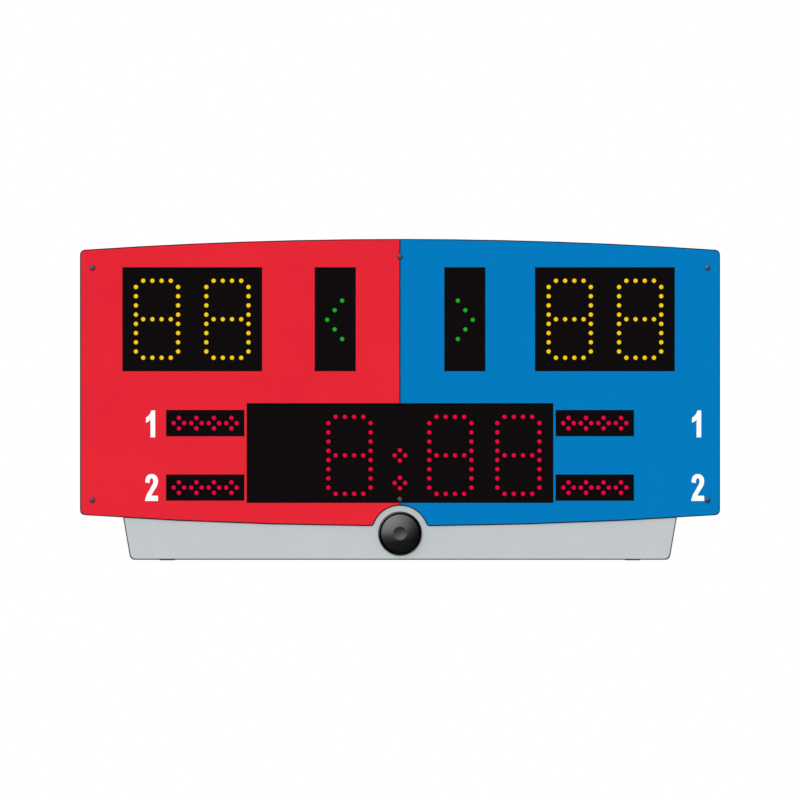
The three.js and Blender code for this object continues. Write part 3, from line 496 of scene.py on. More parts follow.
def glowing(name, code):
    """A coloured resin lens with the light of its chip in it, brightest where it faces forwards."""
    material = finish_of(name, code, code, 400, 900, (0.3, 0.4), 0.00001, 0.05)
    tree = material.node_tree
    shader = tree.nodes["Principled BSDF"]
    shader.inputs["Base Color"].default_value = paint(code)
    tree.links.remove(shader.inputs["Base Color"].links[0])
    facing = put(tree, "ShaderNodeTexCoord")
    split = put(tree, "ShaderNodeSeparateXYZ")
    # Tone and glow rise where the lens faces forwards: the glow's rise is partly the chip's light and partly
    # painted
    core = put(tree, "ShaderNodeMapRange", {"From Min": 0.0, "From Max": crown_shade_facing})
    # shade, and the tone's rise is all painted shade, lighter at the crown and darker at the rim.
    base = put(tree, "ShaderNodeMix", data_type="RGBA")
    glow = put(tree, "ShaderNodeMix", data_type="RGBA")
    tones = paint(code)[:3]
    for mix, shares in ((base, crown_shaded_base_shares), (glow, lens_glow_shares)):
        for socket, share in zip((6, 7), shares):
            mix.inputs[socket].default_value = (*[c * share for c in tones], 1)
    join(tree, facing, "Normal", split, "Vector")
    join(tree, split, "Y", core, "Value")
    join(tree, core, "Result", base, "Factor")
    join(tree, core, "Result", glow, "Factor")
    tree.links.new(base.outputs[2], shader.inputs["Base Color"])
    tree.links.new(glow.outputs[2], shader.inputs["Emission Color"])
    shader.inputs["Emission Strength"].default_value = 1.0
    return material


def digit_dots():
    """Places of the diodes of one figure eight, about its middle."""
    columns = [(side * digit_width / 2, (i - (digit_column_dots - 1) / 2) * dot_pitch)
               for side in (-1, 1) for i in range(digit_column_dots)]
    rows = [((i - (digit_row_dots - 1) / 2) * dot_pitch, level * digit_height / 2)
            for level in (-1, 0, 1) for i in range(digit_row_dots)]
    return columns + rows


def moved(dots, x, z):
    return [(dot_x + x, dot_z + z) for dot_x, dot_z in dots]


def diamond_dots():
    return [(diamond_reach, 0), (0, diamond_reach), (-diamond_reach, 0), (0, -diamond_reach)]


def score_dots():
    return [dot for side in (-1, 1) for dot in moved(digit_dots(), side * score_digit_pitch / 2, 0)]


def clock_dots(half_width):
    last = half_width - clock_last_inset
    middle = last - clock_digit_pitch
    first = middle - clock_digit_pitch - colon_room
    digits = [dot for x in (first, middle, last) for dot in moved(digit_dots(), x, -clock_drop)]
    colon_x = (first + middle) / 2
    colon = [dot for drop in (0, colon_drop) for dot in moved(diamond_dots(), colon_x, -clock_drop - drop)]
    return digits + colon


def arrow_dots(side):
    arms = range(-chevron_arm_dots, chevron_arm_dots + 1)
    dots = [(side * (chevron_arm_dots / 2 - abs(i)) * chevron_step_x, i * chevron_step_z) for i in arms]
    return moved(dots, side * chevron_shift, -chevron_drop)


def penalty_dots():
    starts = [(i - (diamond_count - 1) / 2) * diamond_pitch for i in range(diamond_count)]
    return [dot for x in starts for dot in moved(diamond_dots(), x, 0)]


def joined(pieces, name):
    bpy.ops.object.select_all(action="DESELECT")
    for piece in pieces:
        piece.select_set(True)
    bpy.context.view_layer.objects.active = pieces[0]
    bpy.ops.object.join()
    pieces[0].name = name
    return pieces[0]


def copies_at(model, places):
    """Copies of a model that stands at the origin, each with its own mesh, put at their places."""
    made = []
    for place in places:
        piece = model.copy()
        piece.data = model.data.copy()
        piece.data.transform(Matrix.Translation(place))
        scene.collection.objects.link(piece)
        made.append(piece)
    return made


def lens_model():
    """One diode's dome at the origin, its crown to the front, cut flat where it enters the resin."""
    bpy.ops.mesh.primitive_uv_sphere_add(segments=dot_sides, ring_count=dot_rings, radius=dot_radius,
                                         rotation=(math.pi / 2, 0, 0))
    dome = bpy.context.object
    bpy.ops.object.transform_apply(rotation=True)
    bpy.ops.object.mode_set(mode="EDIT")
    bpy.ops.mesh.select_all(action="SELECT")
    bpy.ops.mesh.bisect(plane_co=(0, 0, 0), plane_no=(0, 1, 0), use_fill=True, clear_outer=True)
    bpy.ops.mesh.select_all(action="SELECT")
    bpy.ops.transform.resize(value=(1, dot_flatten, 1))
    bpy.ops.mesh.normals_make_consistent(inside=False)
    bpy.ops.object.mode_set(mode="OBJECT")
    bpy.ops.object.shade_smooth_by_angle(angle=smooth_angle)
    return dome


def turned(name, profile, steps, centre=(0, 0, 0)):
    """A round piece about a line along Y: the profile's points are (radius, y), and it is spun shut."""
    bpy.ops.object.select_all(action="DESELECT")
    bpy.ops.mesh.primitive_plane_add(size=weld_distance)
    piece = bpy.context.object
    piece.name = name
    bpy.ops.object.mode_set(mode="EDIT")
    bpy.ops.mesh.select_mode(type="VERT")
    bpy.ops.mesh.select_all(action="SELECT")
    bpy.ops.mesh.merge(type="CENTER")
    bpy.ops.transform.translate(value=(profile[0][0], profile[0][1], 0))
    for (radius, y), (next_radius, next_y) in zip(profile, profile[1:]):
        step = (next_radius - radius, next_y - y, 0)
        bpy.ops.mesh.extrude_region_move(TRANSFORM_OT_translate={"value": step})
    bpy.ops.mesh.select_all(action="SELECT")
    bpy.ops.mesh.spin(steps=steps, angle=2 * math.pi, center=(0, 0, 0), axis=(0, 1, 0))
    bpy.ops.mesh.select_all(action="SELECT")
    bpy.ops.mesh.remove_doubles(threshold=weld_distance)
    bpy.ops.mesh.normals_make_consistent(inside=False)
    bpy.ops.transform.translate(value=centre)
    bpy.ops.object.mode_set(mode="OBJECT")
    return piece


def collar_model():
    """The low ring of resin round one diode."""
    outer = dot_radius + collar_wall * 2
    crest = dot_radius + collar_wall
    profile = [(dot_radius, collar_root), (dot_radius, -collar_height), (crest, -collar_height),
               (outer, collar_root), (dot_radius, collar_root)]
    ring = turned("collar_model", profile, dot_sides)
    bpy.ops.object.shade_smooth_by_angle(angle=smooth_angle)
    return ring


def select_faces(piece, wanted):
    """Leaves the piece in edit mode with only the wanted faces selected."""
    make_active(piece)
    bpy.ops.object.mode_set(mode="EDIT")
    bpy.ops.mesh.select_mode(type="FACE")
    bpy.ops.mesh.select_all(action="DESELECT")
    bpy.ops.object.mode_set(mode="OBJECT")
    for polygon in piece.data.polygons:
        polygon.select = wanted(polygon)
    bpy.ops.object.mode_set(mode="EDIT")


def module_face(node, low, high):
    """The potted module itself, its face with a narrow raised rim and, in the clock, a screw hole."""
    size = high - low
    bpy.ops.mesh.primitive_cube_add(size=1, location=(low + high) / 2, scale=size)
    face = bpy.context.object
    bpy.ops.object.transform_apply(location=True, scale=True)
    select_faces(face, lambda polygon: polygon.normal.y < -looks_along)
    bpy.ops.mesh.inset(thickness=rim_width, depth=0)
    bpy.ops.transform.translate(value=(0, rim_height, 0))
    bpy.ops.object.mode_set(mode="OBJECT")
    if node == "clock_display":
        start, end = low.y - rim_width, high.y + rim_width
        hole = [(0, start), (clock_screw_hole, start), (clock_screw_hole, end), (0, end)]
        cut_with(face, turned("drill", hole, dot_sides, (0, 0, low.z + clock_screw_rise)))
    round_edges(face, module_edge_round, 2)
    return face


def cut_with(piece, cutter):
    """Cuts the cutter out of the piece, and removes the cutter."""
    make_active(piece)
    bpy.ops.object.modifier_add(type="BOOLEAN")
    cut = piece.modifiers[-1]
    cut.object = cutter
    cut.operation = "DIFFERENCE"
    cut.solver = "EXACT"
    bpy.ops.object.modifier_apply(modifier=cut.name)
    bpy.data.objects.remove(cutter)


def display(node, dots, lens_material, slot):
    node_low, node_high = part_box(node)
    face_y = node_low.y + dot_proud
    low = Vector((node_low.x, face_y - rim_height, node_low.z + window_lip))
    high = Vector((node_high.x, node_high.y, node_high.z - window_lip))
    middle = (low + high) / 2
    places = [Vector((middle.x + x, face_y, middle.z + z)) for x, z in dots]
    face = module_face(node, low, high)
    module = joined([face, *copies_at(collar, places)], node + "_module")
    module.data.materials.append(resin)
    fit(module, "scoreboard", "display_black", node)
    lenses = joined(copies_at(lens, places), node + "_diodes")
    lenses.data.materials.append(lens_material)
    fit(lenses, "scoreboard", slot)


resin = finish_of("black_resin", resin_black, "0e0a0b", 60, 1400, (0.5, 0.62), 0.00003, 0.02)
yellow_lens = glowing("yellow_diode", lit_yellow)
green_lens = glowing("green_diode", lit_green)
red_lens = glowing("red_diode", lit_red)
lens = lens_model()
collar = collar_model()
clock_low, clock_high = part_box("clock_display")
clock_half = (clock_high.x - clock_low.x) / 2
display("score_display_red", score_dots(), yellow_lens, "led_yellow")
display("score_display_blue", score_dots(), yellow_lens, "led_yellow")
display("arrow_display_red", arrow_dots(-1), green_lens, "led_green")
display("arrow_display_blue", arrow_dots(1), green_lens, "led_green")
display("clock_display", clock_dots(clock_half), red_lens, "led_red")
for side_name in ("red", "blue"):
    for row_name in ("1", "2"):
        display(f"penalty_display_{side_name}_{row_name}", penalty_dots(), red_lens, "led_red")
bpy.data.objects.remove(lens)
bpy.data.objects.remove(collar)

# Plain numerals beside the penalty windows number the two rows of each side. They are screen-printed in
# white, so each is a film of ink on its panel. Their outlines are drawn in millimetres from the lower left
# corner, as corners, where the line breaks, and rounded points, which it runs through in a smooth curve.
ink_thick = 0.00012
ink_white = "ffffff"
millimetre = 0.001
curve_steps = 5
numeral_one = [
    (4.7, 0, "corner"), (9.5, 0, "corner"), (9.5, 27.8, "corner"), (5.8, 27.8, "corner"),
    (3.5, 23.4, "round"), (0, 20.1, "corner"), (0, 15, "corner"), (2.6, 16.3, "round"), (4.7, 18.1, "corner"),
]
numeral_two = [
    (0.3, 19.3, "corner"), (2, 25.5, "round"), (6.9, 27.8, "round"), (11.9, 25.5, "round"),
    (13.5, 20.8, "round"), (12.4, 15.6, "round"), (8.3, 8.8, "round"), (6.5, 5.4, "corner"),
    (13.5, 5.4, "corner"), (13.5, 0, "corner"), (0, 0, "corner"), (1.6, 5.7, "round"), (6.2, 14, "round"),
    (8.7, 20.3, "round"), (6.9, 23.5, "round"), (4.9, 20.3, "round"), (4.9, 18.4, "corner"),
]
numeral_places = {
    "numeral_red_1": (numeral_one, -0.262, 0.1268),
    "numeral_blue_1": (numeral_one, 0.30115, 0.1268),
    "numeral_red_2": (numeral_two, -0.2631, 0.0612),
    "numeral_blue_2": (numeral_two, 0.3002, 0.0612),
}
handle_kinds = {"corner": "VECTOR", "round": "AUTO"}
panel_face_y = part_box("red_panel")[0].y

white_ink = finish_of("white_ink", ink_white, "fafafa", 120, 1800, (0.45, 0.55), 0.00001, 0.2)
for name, (outline, x, z) in numeral_places.items():
    bpy.ops.object.select_all(action="DESELECT")
    bpy.ops.curve.primitive_bezier_curve_add(rotation=(math.pi / 2, 0, 0))
    figure = bpy.context.object
    figure.name = name
    figure.data.dimensions = "2D"
    figure.data.fill_mode = "BOTH"
    figure.data.extrude = ink_thick
    figure.data.resolution_u = curve_steps
    line = figure.data.splines[0]
    line.use_cyclic_u = True
    line.bezier_points.add(len(outline) - len(line.bezier_points))
    for point, (across, up, kind) in zip(line.bezier_points, outline):
        point.co = (across * millimetre, up * millimetre, 0)
        point.handle_left_type = handle_kinds[kind]
        point.handle_right_type = handle_kinds[kind]
    bpy.ops.object.convert(target="MESH")
    bpy.ops.object.transform_apply(rotation=True)
    figure.data.transform(Matrix.Translation((x, panel_face_y, z)))
    figure.data.materials.append(white_ink)
    fit(figure, "scoreboard", "numeral_white")

# The siren is a glossy black moulding: a rim with a round edge, a domed face let into it with a groove round
# it, and a shallow dish in the middle where the sound comes out. Its collar passes through the housing.
siren_steps = 96
siren_groove_radius = 0.0212
siren_face_radius = 0.0196
siren_rim_round = 0.0019
siren_rim_start = -75
siren_rim_steps = 10
siren_face_dome = 0.0026
siren_face_edge = 0.0003
siren_face_edge_start = -60
siren_face_edge_steps = 3
siren_face_rings = 44
siren_face_thick = 0.002
siren_web = 0.0021
siren_seat_gap = 0.0003
siren_groove_slope = 0.0016
dish_radius = 0.0069
dish_depth = 0.00066
dish_lip = 0.0004
collar_radius = 0.015
collar_bore = 0.0126
siren_tone = "030303"
siren_gloss = 0.9
siren_sheen = (0.97, 0.95, 1, 1)


def arc_points(radius, y, bend, start, end, steps):
    """Points of a profile on an arc of radius bend about (radius, y); 0 points outwards, -90 to the front."""
    angles = [math.radians(start + (end - start) * i / steps) for i in range(steps + 1)]
    return [(radius + bend * math.cos(a), y + bend * math.sin(a)) for a in angles]


siren_low, siren_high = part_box("siren_bezel")
siren_centre = (0, 0, (siren_low.z + siren_high.z) / 2)
siren_radius = (siren_high.x - siren_low.x) / 2
siren_front = siren_low.y
flange_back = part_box("front_shell")[0].y - siren_seat_gap
siren_floor = flange_back - siren_web
siren_black = finish_of("siren_black", siren_tone, "050505", 70, 1600, (0.26, 0.32), 0.00001, siren_gloss)
siren_black.node_tree.nodes["Principled BSDF"].inputs["Specular Tint"].default_value = siren_sheen
rim_centre_radius = siren_radius - siren_rim_round
rim_centre_y = siren_front - siren_rim_round * math.sin(math.radians(siren_rim_start))
groove_floor_y = siren_floor - siren_groove_slope
rim_profile = [
    (siren_groove_radius, groove_floor_y),
    *arc_points(rim_centre_radius, rim_centre_y, siren_rim_round, siren_rim_start, 0, siren_rim_steps),
    (siren_radius, flange_back),
    (collar_radius, flange_back),
    (collar_radius, siren_high.y),
    (collar_bore, siren_high.y),
    (collar_bore, siren_floor),
    (siren_face_radius, siren_floor),
    (siren_groove_radius, groove_floor_y),
]
siren_rim = turned("siren_rim", rim_profile, siren_steps, siren_centre)
dress(siren_rim, siren_black, "siren_black", "siren_bezel")

dish_softness = dish_lip * dish_depth / dish_radius
dome_radius = (siren_face_radius ** 2 + siren_face_dome ** 2) / (2 * siren_face_dome)


def face_depth(radius):
    """How far the siren's face lies behind its crown: a dome with a round dish in the middle."""
    dome = dome_radius - math.sqrt(dome_radius ** 2 - radius ** 2)
    bowl = dish_depth * (1 - (radius / dish_radius) ** 2)
    return dome + (bowl + math.sqrt(bowl ** 2 + dish_softness ** 2)) / 2


face_ring_step = (siren_face_radius - siren_face_edge) / siren_face_rings
face_radii = [face_ring_step * i for i in range(siren_face_rings + 1)]
face_edge_y = siren_front + face_depth(face_radii[-1]) + siren_face_edge
face_back_y = siren_front + siren_face_dome + siren_face_thick
face_profile = [(radius, siren_front + face_depth(radius)) for radius in face_radii]
face_profile += arc_points(face_radii[-1], face_edge_y, siren_face_edge, siren_face_edge_start, 0,
                           siren_face_edge_steps)
face_profile += [(siren_face_radius, face_back_y), (0, face_back_y)]
siren_dome = turned("siren_dome", face_profile, siren_steps, siren_centre)
dress(siren_dome, siren_black, "siren_black", "siren_face")

# Every screw is a self-tapping one with a low round head and a hexagon socket, in blackened steel. The same
# head is used all over, on a long shank for the panels and on shorter ones behind.
head_radius = 0.0028
head_height = 0.0018
head_flat = 0.0017
head_skirt = 0.0007
head_steps = 32
crown_steps = 6
hexagon_radius = 0.0012
hexagon_depth = 0.001
shank_radius = 0.0015
shank_tip = 0.002
panel_screw_length = 0.014
cover_screw_length = 0.012
small_screw_length = 0.006
steel_grey = "585b61"
steel_patch = "494b51"


def screw_model(name, length):
    """A screw at the origin: it bears at y 0, its head points to the front and its tip to the back."""
    crown_width, crown_rise = head_radius - head_flat, head_height - head_skirt
    turns = [math.radians(90 * i / crown_steps - 90) for i in range(crown_steps + 1)]
    crown = [(head_flat + crown_width * math.cos(a), crown_rise * math.sin(a) - head_skirt) for a in turns]
    shank = [(shank_radius, 0), (shank_radius, length - shank_tip), (0, length)]
    screw = turned(name, [(0, -head_height), *crown, (head_radius, 0), *shank], head_steps)
    bpy.ops.mesh.primitive_cylinder_add(vertices=6, radius=hexagon_radius, depth=hexagon_depth * 2,
                                        location=(0, -head_height, 0), rotation=(math.pi / 2, 0, 0))
    hexagon = bpy.context.object
    bpy.ops.object.transform_apply(location=True, rotation=True)
    cut_with(screw, hexagon)
    screw.data.materials.append(dark_steel)
    shade_smooth(screw)
    return screw


def place_screws(model, facing_back, *nodes):
    for node in nodes:
        low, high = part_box(node)
        x, z = (low.x + high.x) / 2, (low.z + high.z) / 2
        copy = model.copy()
        copy.data = model.data.copy()
        if facing_back:
            copy.data.transform(Matrix.Rotation(math.pi, 4, "Z"))
        y = high.y - head_height if facing_back else low.y + head_height
        copy.data.transform(Matrix.Translation((x, y, z)))
        copy.name = node + "_head_and_shank"
        scene.collection.objects.link(copy)
        fit(copy, "scoreboard", "screw_steel", node)
    bpy.data.objects.remove(model)


dark_steel = finish_of("blackened_steel", steel_grey, steel_patch, 260, 2200, (0.3, 0.42), 0.00001, 0.5, 0.85)
panel_places = ("top_left", "top_right", "bottom_left", "bottom_right", "top_centre", "bottom_centre")
panel_screws = [f"panel_screw_{place}" for place in panel_places]
cover_screws = [f"cover_screw_{i + 1}" for i in range(6)]
small_screws = [f"battery_screw_{i + 1}" for i in range(2)] + [f"plate_screw_{i + 1}" for i in range(4)]
place_screws(screw_model("panel_screw", panel_screw_length), False, *panel_screws)
place_screws(screw_model("cover_screw", cover_screw_length), True, *cover_screws)
place_screws(screw_model("small_screw", small_screw_length), True, *small_screws)

# The housing is two mouldings in grey ABS with a fine spark-eroded texture, a front shell behind the panels
# and a rear cover with drafted walls and a rounded back edge. They lap at a parting line, seen as a fine
# groove. The chamfer of the front shell is smooth, and is painted a darker grey, a painted shade that draws
# a thin dark line round the base.
parting_round = 0.0005
moulded_edge_round = 0.0003
square_edge = math.radians(62)
moulded_smooth = math.radians(50)
moulded_grey = "c2c7ca"
moulded_patch = "bfc5c8"
chamfer_shade_grey = "666a6d"
chamfer_shade_patch = "616568"
shaded_chamfer_depth = 0.0013
shaded_chamfer_slopes = (0.4, 0.9)
parting_side_share = 0.6
parting_low = 0.04
parting_high = 0.29


def round_parting_edge(shell, y):
    """Rounds the outer edge of a shell at its parting face, which lies at y."""
    low, high = Vector(shell.bound_box[0]), Vector(shell.bound_box[6])
    middle = (low + high) / 2

    def faces_out(polygon):
        return polygon.normal.dot((polygon.center - middle) * Vector((1, 0, 1))) > 0

    outer = wall_edges(shell, faces_out)

    def at_rim(end):
        return abs(end.x) > high.x * parting_side_share or not parting_low < end.z < parting_high

    def at_parting(key, ends):
        in_plane = all(abs(end.y - y) < place_tolerance for end in ends)
        return key in outer and in_plane and any(at_rim(end) for end in ends)

    bevel_edges(shell, at_parting, parting_round, 2)


housing_grey = finish_of("moulded_grey", moulded_grey, moulded_patch, 30, 1700, (0.5, 0.6), 0.00004, 0.25)
chamfer_shade_finish = finish_of("painted_shade_chamfer_grey", chamfer_shade_grey, chamfer_shade_patch, 30, 1700, (0.45, 0.55), 0.00001, 0.05)
shell_front, shell_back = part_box("front_shell")[0].y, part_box("front_shell")[1].y
front_shell = merged_copy("front_shell_moulding", "front_shell", whole_faces=False)
round_parting_edge(front_shell, shell_back)
front_shell.data.materials.append(housing_grey)
front_shell.data.materials.append(chamfer_shade_finish)
# The chamfer round the base takes the darker grey, a painted shade for the thin dark line.
for face in front_shell.data.polygons:
    sloped = shaded_chamfer_slopes[0] < -face.normal.y < shaded_chamfer_slopes[1]
    face.material_index = 1 if sloped and face.center.y < shell_front + shaded_chamfer_depth else 0
shade_smooth(front_shell, moulded_smooth)
fit(front_shell, "scoreboard", "housing_grey", "front_shell")

rear_cover = merged_copy("rear_cover_moulding", "rear_cover", whole_faces=False)
round_edges(rear_cover, moulded_edge_round, 2, square_edge)
dress(rear_cover, housing_grey, "housing_grey", "rear_cover", smooth=moulded_smooth)

# The lid of the battery pocket is a flat moulding in the same grey as the housing. It lies in a recess of
# the back, about flush with it, and is held by two screws.
lid_edge_round = 0.0005


def dress_node(node, name, material, slot, edge_round, edge_steps=2, smooth=smooth_angle):
    """The form of a CAD node with its square edges rounded, in its finish."""
    piece = merged_copy(name, node)
    round_edges(piece, edge_round, edge_steps, square_edge)
    dress(piece, material, slot, node, smooth=smooth)


dress_node("battery_cover", "battery_lid", housing_grey, "housing_grey", lid_edge_round,
           smooth=moulded_smooth)

# The connector plate at the bottom of the bay and the two keyhole plates are zinc-plated steel sheet, brushed
# before plating, with their burrs taken off.
plate_edge_round = 0.00025
zinc_bright = "a9adb0"
zinc_dull = "999ea2"
plating_gloss = 0.5
plating_metal = 0.9


def brushed_group():
    """Fine lines along X: a tone, a roughness and a height that change across them."""
    group = bpy.data.node_groups.new("brushed_lines", "ShaderNodeTree")
    for name in ("Bright", "Dull"):
        group.interface.new_socket(name, in_out="INPUT", socket_type="NodeSocketColor")
    group.interface.new_socket("Line Scale", in_out="INPUT", socket_type="NodeSocketFloat")
    group.interface.new_socket("Color", in_out="OUTPUT", socket_type="NodeSocketColor")
    for name in ("Roughness", "Height"):
        group.interface.new_socket(name, in_out="OUTPUT", socket_type="NodeSocketFloat")
    start = put(group, "NodeGroupInput")
    end = put(group, "NodeGroupOutput")
    place = put(group, "ShaderNodeTexCoord")
    stretch = put(group, "ShaderNodeMapping", {"Scale": (0.02, 1, 1)})
    lines = put(group, "ShaderNodeTexNoise", {"Detail": 3, "Roughness": 0.6})
    tone = put(group, "ShaderNodeMix", data_type="RGBA")
    rough = put(group, "ShaderNodeMapRange", {"From Min": 0.3, "From Max": 0.7,
                                              "To Min": 0.28, "To Max": 0.45})
    join(group, place, "Object", stretch, "Vector")
    join(group, stretch, "Vector", lines, "Vector")
    join(group, start, "Line Scale", lines, "Scale")
    join(group, lines, "Fac", tone, "Factor")
    group.links.new(start.outputs["Bright"], tone.inputs[6])
    group.links.new(start.outputs["Dull"], tone.inputs[7])
    group.links.new(tone.outputs[2], end.inputs["Color"])
    join(group, lines, "Fac", rough, "Value")
    join(group, rough, "Result", end, "Roughness")
    join(group, lines, "Fac", end, "Height")
    return group


def brushed_finish(name, bright, dull, line_scale, line_depth):
    """A plated metal with the brushed lines."""
    values = {"Bright": paint(bright), "Dull": paint(dull), "Line Scale": line_scale}
    return surfaced(name, brushed, values, line_depth, plating_gloss, plating_metal)


brushed = brushed_group()
zinc_steel = brushed_finish("zinc_plated_steel", zinc_bright, zinc_dull, 2600, 0.000015)
for plate_node in ("connector_plate", "hanger_plate_left", "hanger_plate_right"):
    dress_node(plate_node, plate_node + "_sheet", zinc_steel, "plate_steel", plate_edge_round)

# The power switch is a bought part: a glossy black frame that snaps into the plate, and a matt rocker with
# the usual bar and ring printed on its two faces.
switch_edge_round = 0.0004
rocker_edge_round = 0.0005
mark_thick = 0.00008
bar_mark_length = 0.0036
bar_mark_width = 0.0007
ring_mark_radius = 0.0018
ring_mark_width = 0.0006
mark_steps = 32
press_face_lean = 0.85

socket_black = finish_of("socket_black", "18181a", "1c1c1e", 110, 2000, (0.34, 0.44), 0.00001, 0.4)
rocker_black = finish_of("rocker_black", "1e1e20", "222224", 140, 2400, (0.5, 0.6), 0.00003, 0.3)
dress_node("power_switch_housing", "switch_frame", socket_black, "socket_black", switch_edge_round)

rocker = merged_copy("rocker_cap", "power_rocker")
press_faces = [p for p in rocker.data.polygons if p.normal.y > press_face_lean]
press_faces.sort(key=lambda p: p.center.z)
press_places = [(p.center.copy(), p.normal.copy()) for p in (press_faces[0], press_faces[-1])]
round_edges(rocker, rocker_edge_round, 2, square_edge)
rocker.data.materials.append(rocker_black)
shade_smooth(rocker)
fit(rocker, "rocker", "socket_black", "power_rocker")


def place_mark(mark, name, centre, normal):
    """Lays a mark that faces +Y at the origin on a press face of the rocker."""
    turn = Vector((0, 1, 0)).rotation_difference(normal).to_matrix().to_4x4()
    mark.data.transform(Matrix.Translation(centre) @ turn)
    mark.name = name
    mark.data.materials.append(white_ink)
    fit(mark, "rocker", "numeral_white")


bar_mark_size = (bar_mark_width, mark_thick * 2, bar_mark_length)
bpy.ops.mesh.primitive_cube_add(size=1, scale=bar_mark_size)
bar_mark = bpy.context.object
bpy.ops.object.transform_apply(scale=True)
round_edges(bar_mark, mark_thick / 2, 1)
ring_inner = ring_mark_radius - ring_mark_width
ring_profile = [(ring_inner, -mark_thick), (ring_inner, mark_thick), (ring_mark_radius, mark_thick),
                (ring_mark_radius, -mark_thick), (ring_inner, -mark_thick)]
ring_mark = turned("ring_mark", ring_profile, mark_steps)
place_mark(bar_mark, "switch_on_mark", *press_places[1])
place_mark(ring_mark, "switch_off_mark", *press_places[0])

# The charging inlet is a round black moulding with a plated centre pin, clamped by a hexagon nut behind the
# plate, and the two data sockets beside it are moulded boxes with eight gold-plated contacts each.
inlet_steps = 48
inlet_edge_round = 0.0004
inlet_flange_thick = 0.0015
inlet_barrel_radius = 0.0039
inlet_bore_radius = 0.0029
inlet_bore_depth = 0.009
inlet_pin_radius = 0.001
inlet_pin_sink = 0.001
socket_edge_round = 0.0004
contact_count = 8
contact_pitch = 0.00102
contact_width = 0.0005
contact_thick = 0.0004
contact_length = 0.009
contact_inset = 0.0012
contact_size = (contact_width, contact_length, contact_thick)
socket_mouth_height = 0.008

inlet_low, inlet_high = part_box("charge_inlet")
inlet_x, inlet_z = (inlet_low.x + inlet_high.x) / 2, (inlet_low.z + inlet_high.z) / 2
inlet_flange_radius = (inlet_high.x - inlet_low.x) / 2
inlet_mouth = inlet_high.y
inlet_floor = inlet_mouth - inlet_bore_depth
inlet_round_y = inlet_mouth - inlet_edge_round
inlet_profile = [
    (0, inlet_low.y),
    (inlet_barrel_radius, inlet_low.y),
    (inlet_barrel_radius, inlet_mouth - inlet_flange_thick),
    (inlet_flange_radius, inlet_mouth - inlet_flange_thick),
    *arc_points(inlet_flange_radius - inlet_edge_round, inlet_round_y, inlet_edge_round, 0, 90, 4),
    *arc_points(inlet_bore_radius + inlet_edge_round, inlet_round_y, inlet_edge_round, 90, 180, 4),
    (inlet_bore_radius, inlet_floor),
    (0, inlet_floor),
]
inlet = turned("inlet_body", inlet_profile, inlet_steps, (inlet_x, 0, inlet_z))
dress(inlet, socket_black, "socket_black", "charge_inlet")
pin_tip = inlet_mouth - inlet_pin_sink
pin_profile = [(0, inlet_floor - inlet_pin_sink), (inlet_pin_radius, inlet_floor - inlet_pin_sink),
               *arc_points(0, pin_tip - inlet_pin_radius, inlet_pin_radius, 0, 90, 5)]
inlet_pin = turned("inlet_pin", pin_profile, mark_steps, (inlet_x, 0, inlet_z))
dress(inlet_pin, zinc_steel, "plate_steel")
dress_node("charge_inlet_nut", "inlet_nut", zinc_steel, "plate_steel", plate_edge_round)

contact_gold = brushed_finish("gold_plated_contact", "d9b45a", "c79d43", 5000, 0.000004)
for socket_node in ("console_socket", "extension_socket"):
    dress_node(socket_node, socket_node + "_body", socket_black, "socket_black", socket_edge_round)
    low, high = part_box(socket_node)
    middle = (low + high) / 2
    contact_top = middle.z + socket_mouth_height / 2
    contacts = []
    for i in range(contact_count):
        x = middle.x + (i - (contact_count - 1) / 2) * contact_pitch
        place = (x, high.y - contact_inset - contact_length / 2, contact_top - contact_thick)
        bpy.ops.mesh.primitive_cube_add(size=1, location=place, scale=contact_size)
        contact = bpy.context.object
        bpy.ops.object.transform_apply(location=True, scale=True)
        select_faces(contact, lambda polygon: polygon.normal.y < -looks_along)
        bpy.ops.transform.translate(value=(0, 0, -contact_thick * 3))
        bpy.ops.object.mode_set(mode="OBJECT")
        contacts.append(contact)
    comb = joined(contacts, socket_node + "_contacts")
    comb.data.materials.append(contact_gold)
    fit(comb, "scoreboard", "plate_steel")

# Four moulded rubber feet are pressed into round recesses under the housing and stand just proud of it. Each
# has a rounded rim and a shallow recess in its tread.
foot_steps = 48
foot_round = 0.0004

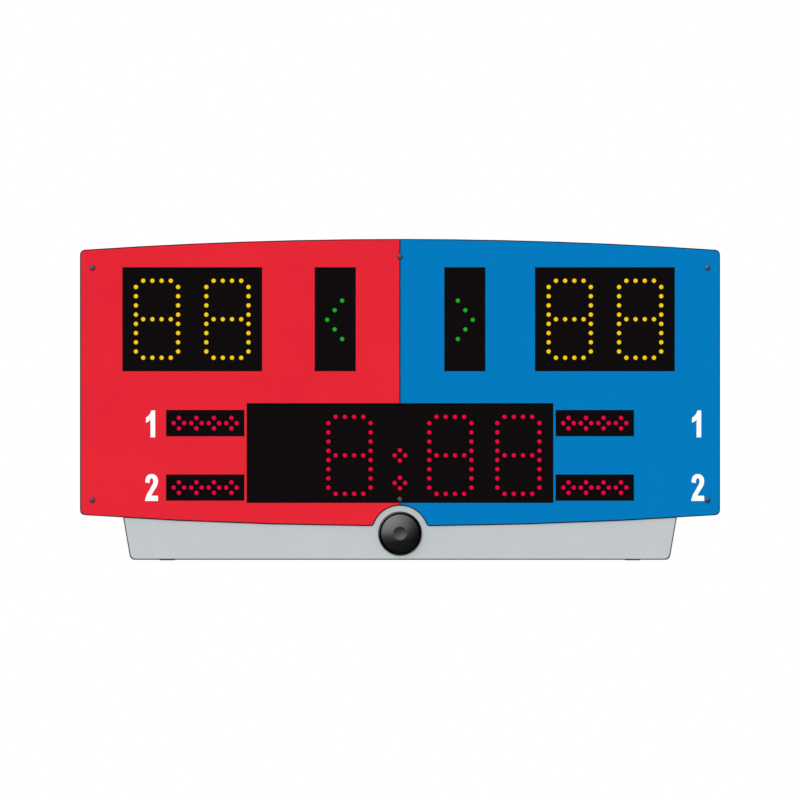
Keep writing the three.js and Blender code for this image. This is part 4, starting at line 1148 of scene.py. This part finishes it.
foot_rubber = finish_of("foot_rubber", "1d1d1d", "242424", 90, 1300, (0.75, 0.9), 0.00005, 0.3)
for foot_node in [f"foot_{row}_{side}" for row in ("front", "back") for side in ("left", "right")]:
    low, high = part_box(foot_node)
    radius, depth = (high.x - low.x) / 2, high.z - low.z
    bpy.ops.mesh.primitive_cylinder_add(vertices=foot_steps, radius=radius, depth=depth,
                                        location=(low + high) / 2)
    foot = bpy.context.object
    bpy.ops.object.transform_apply(location=True)
    foot.name = foot_node + "_pad"
    select_faces(foot, lambda polygon: polygon.normal.z < -looks_along)
    bpy.ops.mesh.inset(thickness=foot_round * 4, depth=0)
    bpy.ops.mesh.inset(thickness=foot_round, depth=0)
    bpy.ops.transform.translate(value=(0, 0, foot_round / 2))
    bpy.ops.object.mode_set(mode="OBJECT")
    round_edges(foot, foot_round, 3, square_edge)
    dress(foot, foot_rubber, "foot_rubber", foot_node)

# Inside, out of sight: printed boards in green solder mask with black driver chips, the battery in its shrink
# sleeve, and the siren's driver and ring nut in black plastic. They keep the shapes of the CAD model.
board_edge_round = 0.0002
chip_start = 0.002
battery_edge_round = 0.003
mask_green = finish_of("solder_mask", "1d5b36", "174a2c", 180, 900, (0.32, 0.45), 0.00003, 0.5)
chip_black = finish_of("chip_black", "1b1b1c", "222223", 300, 1800, (0.5, 0.6), 0.00002, 0.3)
sleeve_black = finish_of("shrink_sleeve", "23262b", "2b2e34", 50, 260, (0.4, 0.55), 0.0001, 0.4)
for board_node in ("score_board_red", "score_board_blue", "clock_board", "controller_board"):
    printed = merged_copy(board_node + "_assembly", board_node)
    round_edges(printed, board_edge_round, 1, square_edge)
    printed.data.materials.append(mask_green)
    printed.data.materials.append(chip_black)
    low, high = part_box(board_node)
    faces_front = board_node == "controller_board"
    for face in printed.data.polygons:
        rise = high.y - face.center.y if faces_front else face.center.y - low.y
        face.material_index = 1 if rise > chip_start else 0
    shade_smooth(printed)
    fit(printed, "scoreboard", "circuit_board", board_node)
dress_node("battery_pack", "battery_sleeve", sleeve_black, "battery_case", battery_edge_round, 4)
for hidden_node in ("siren_driver", "siren_nut"):
    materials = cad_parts[hidden_node].data.materials
    materials.clear()
    materials.append(socket_black)

# The bounds of the finished model, the floor left out.
low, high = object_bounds()
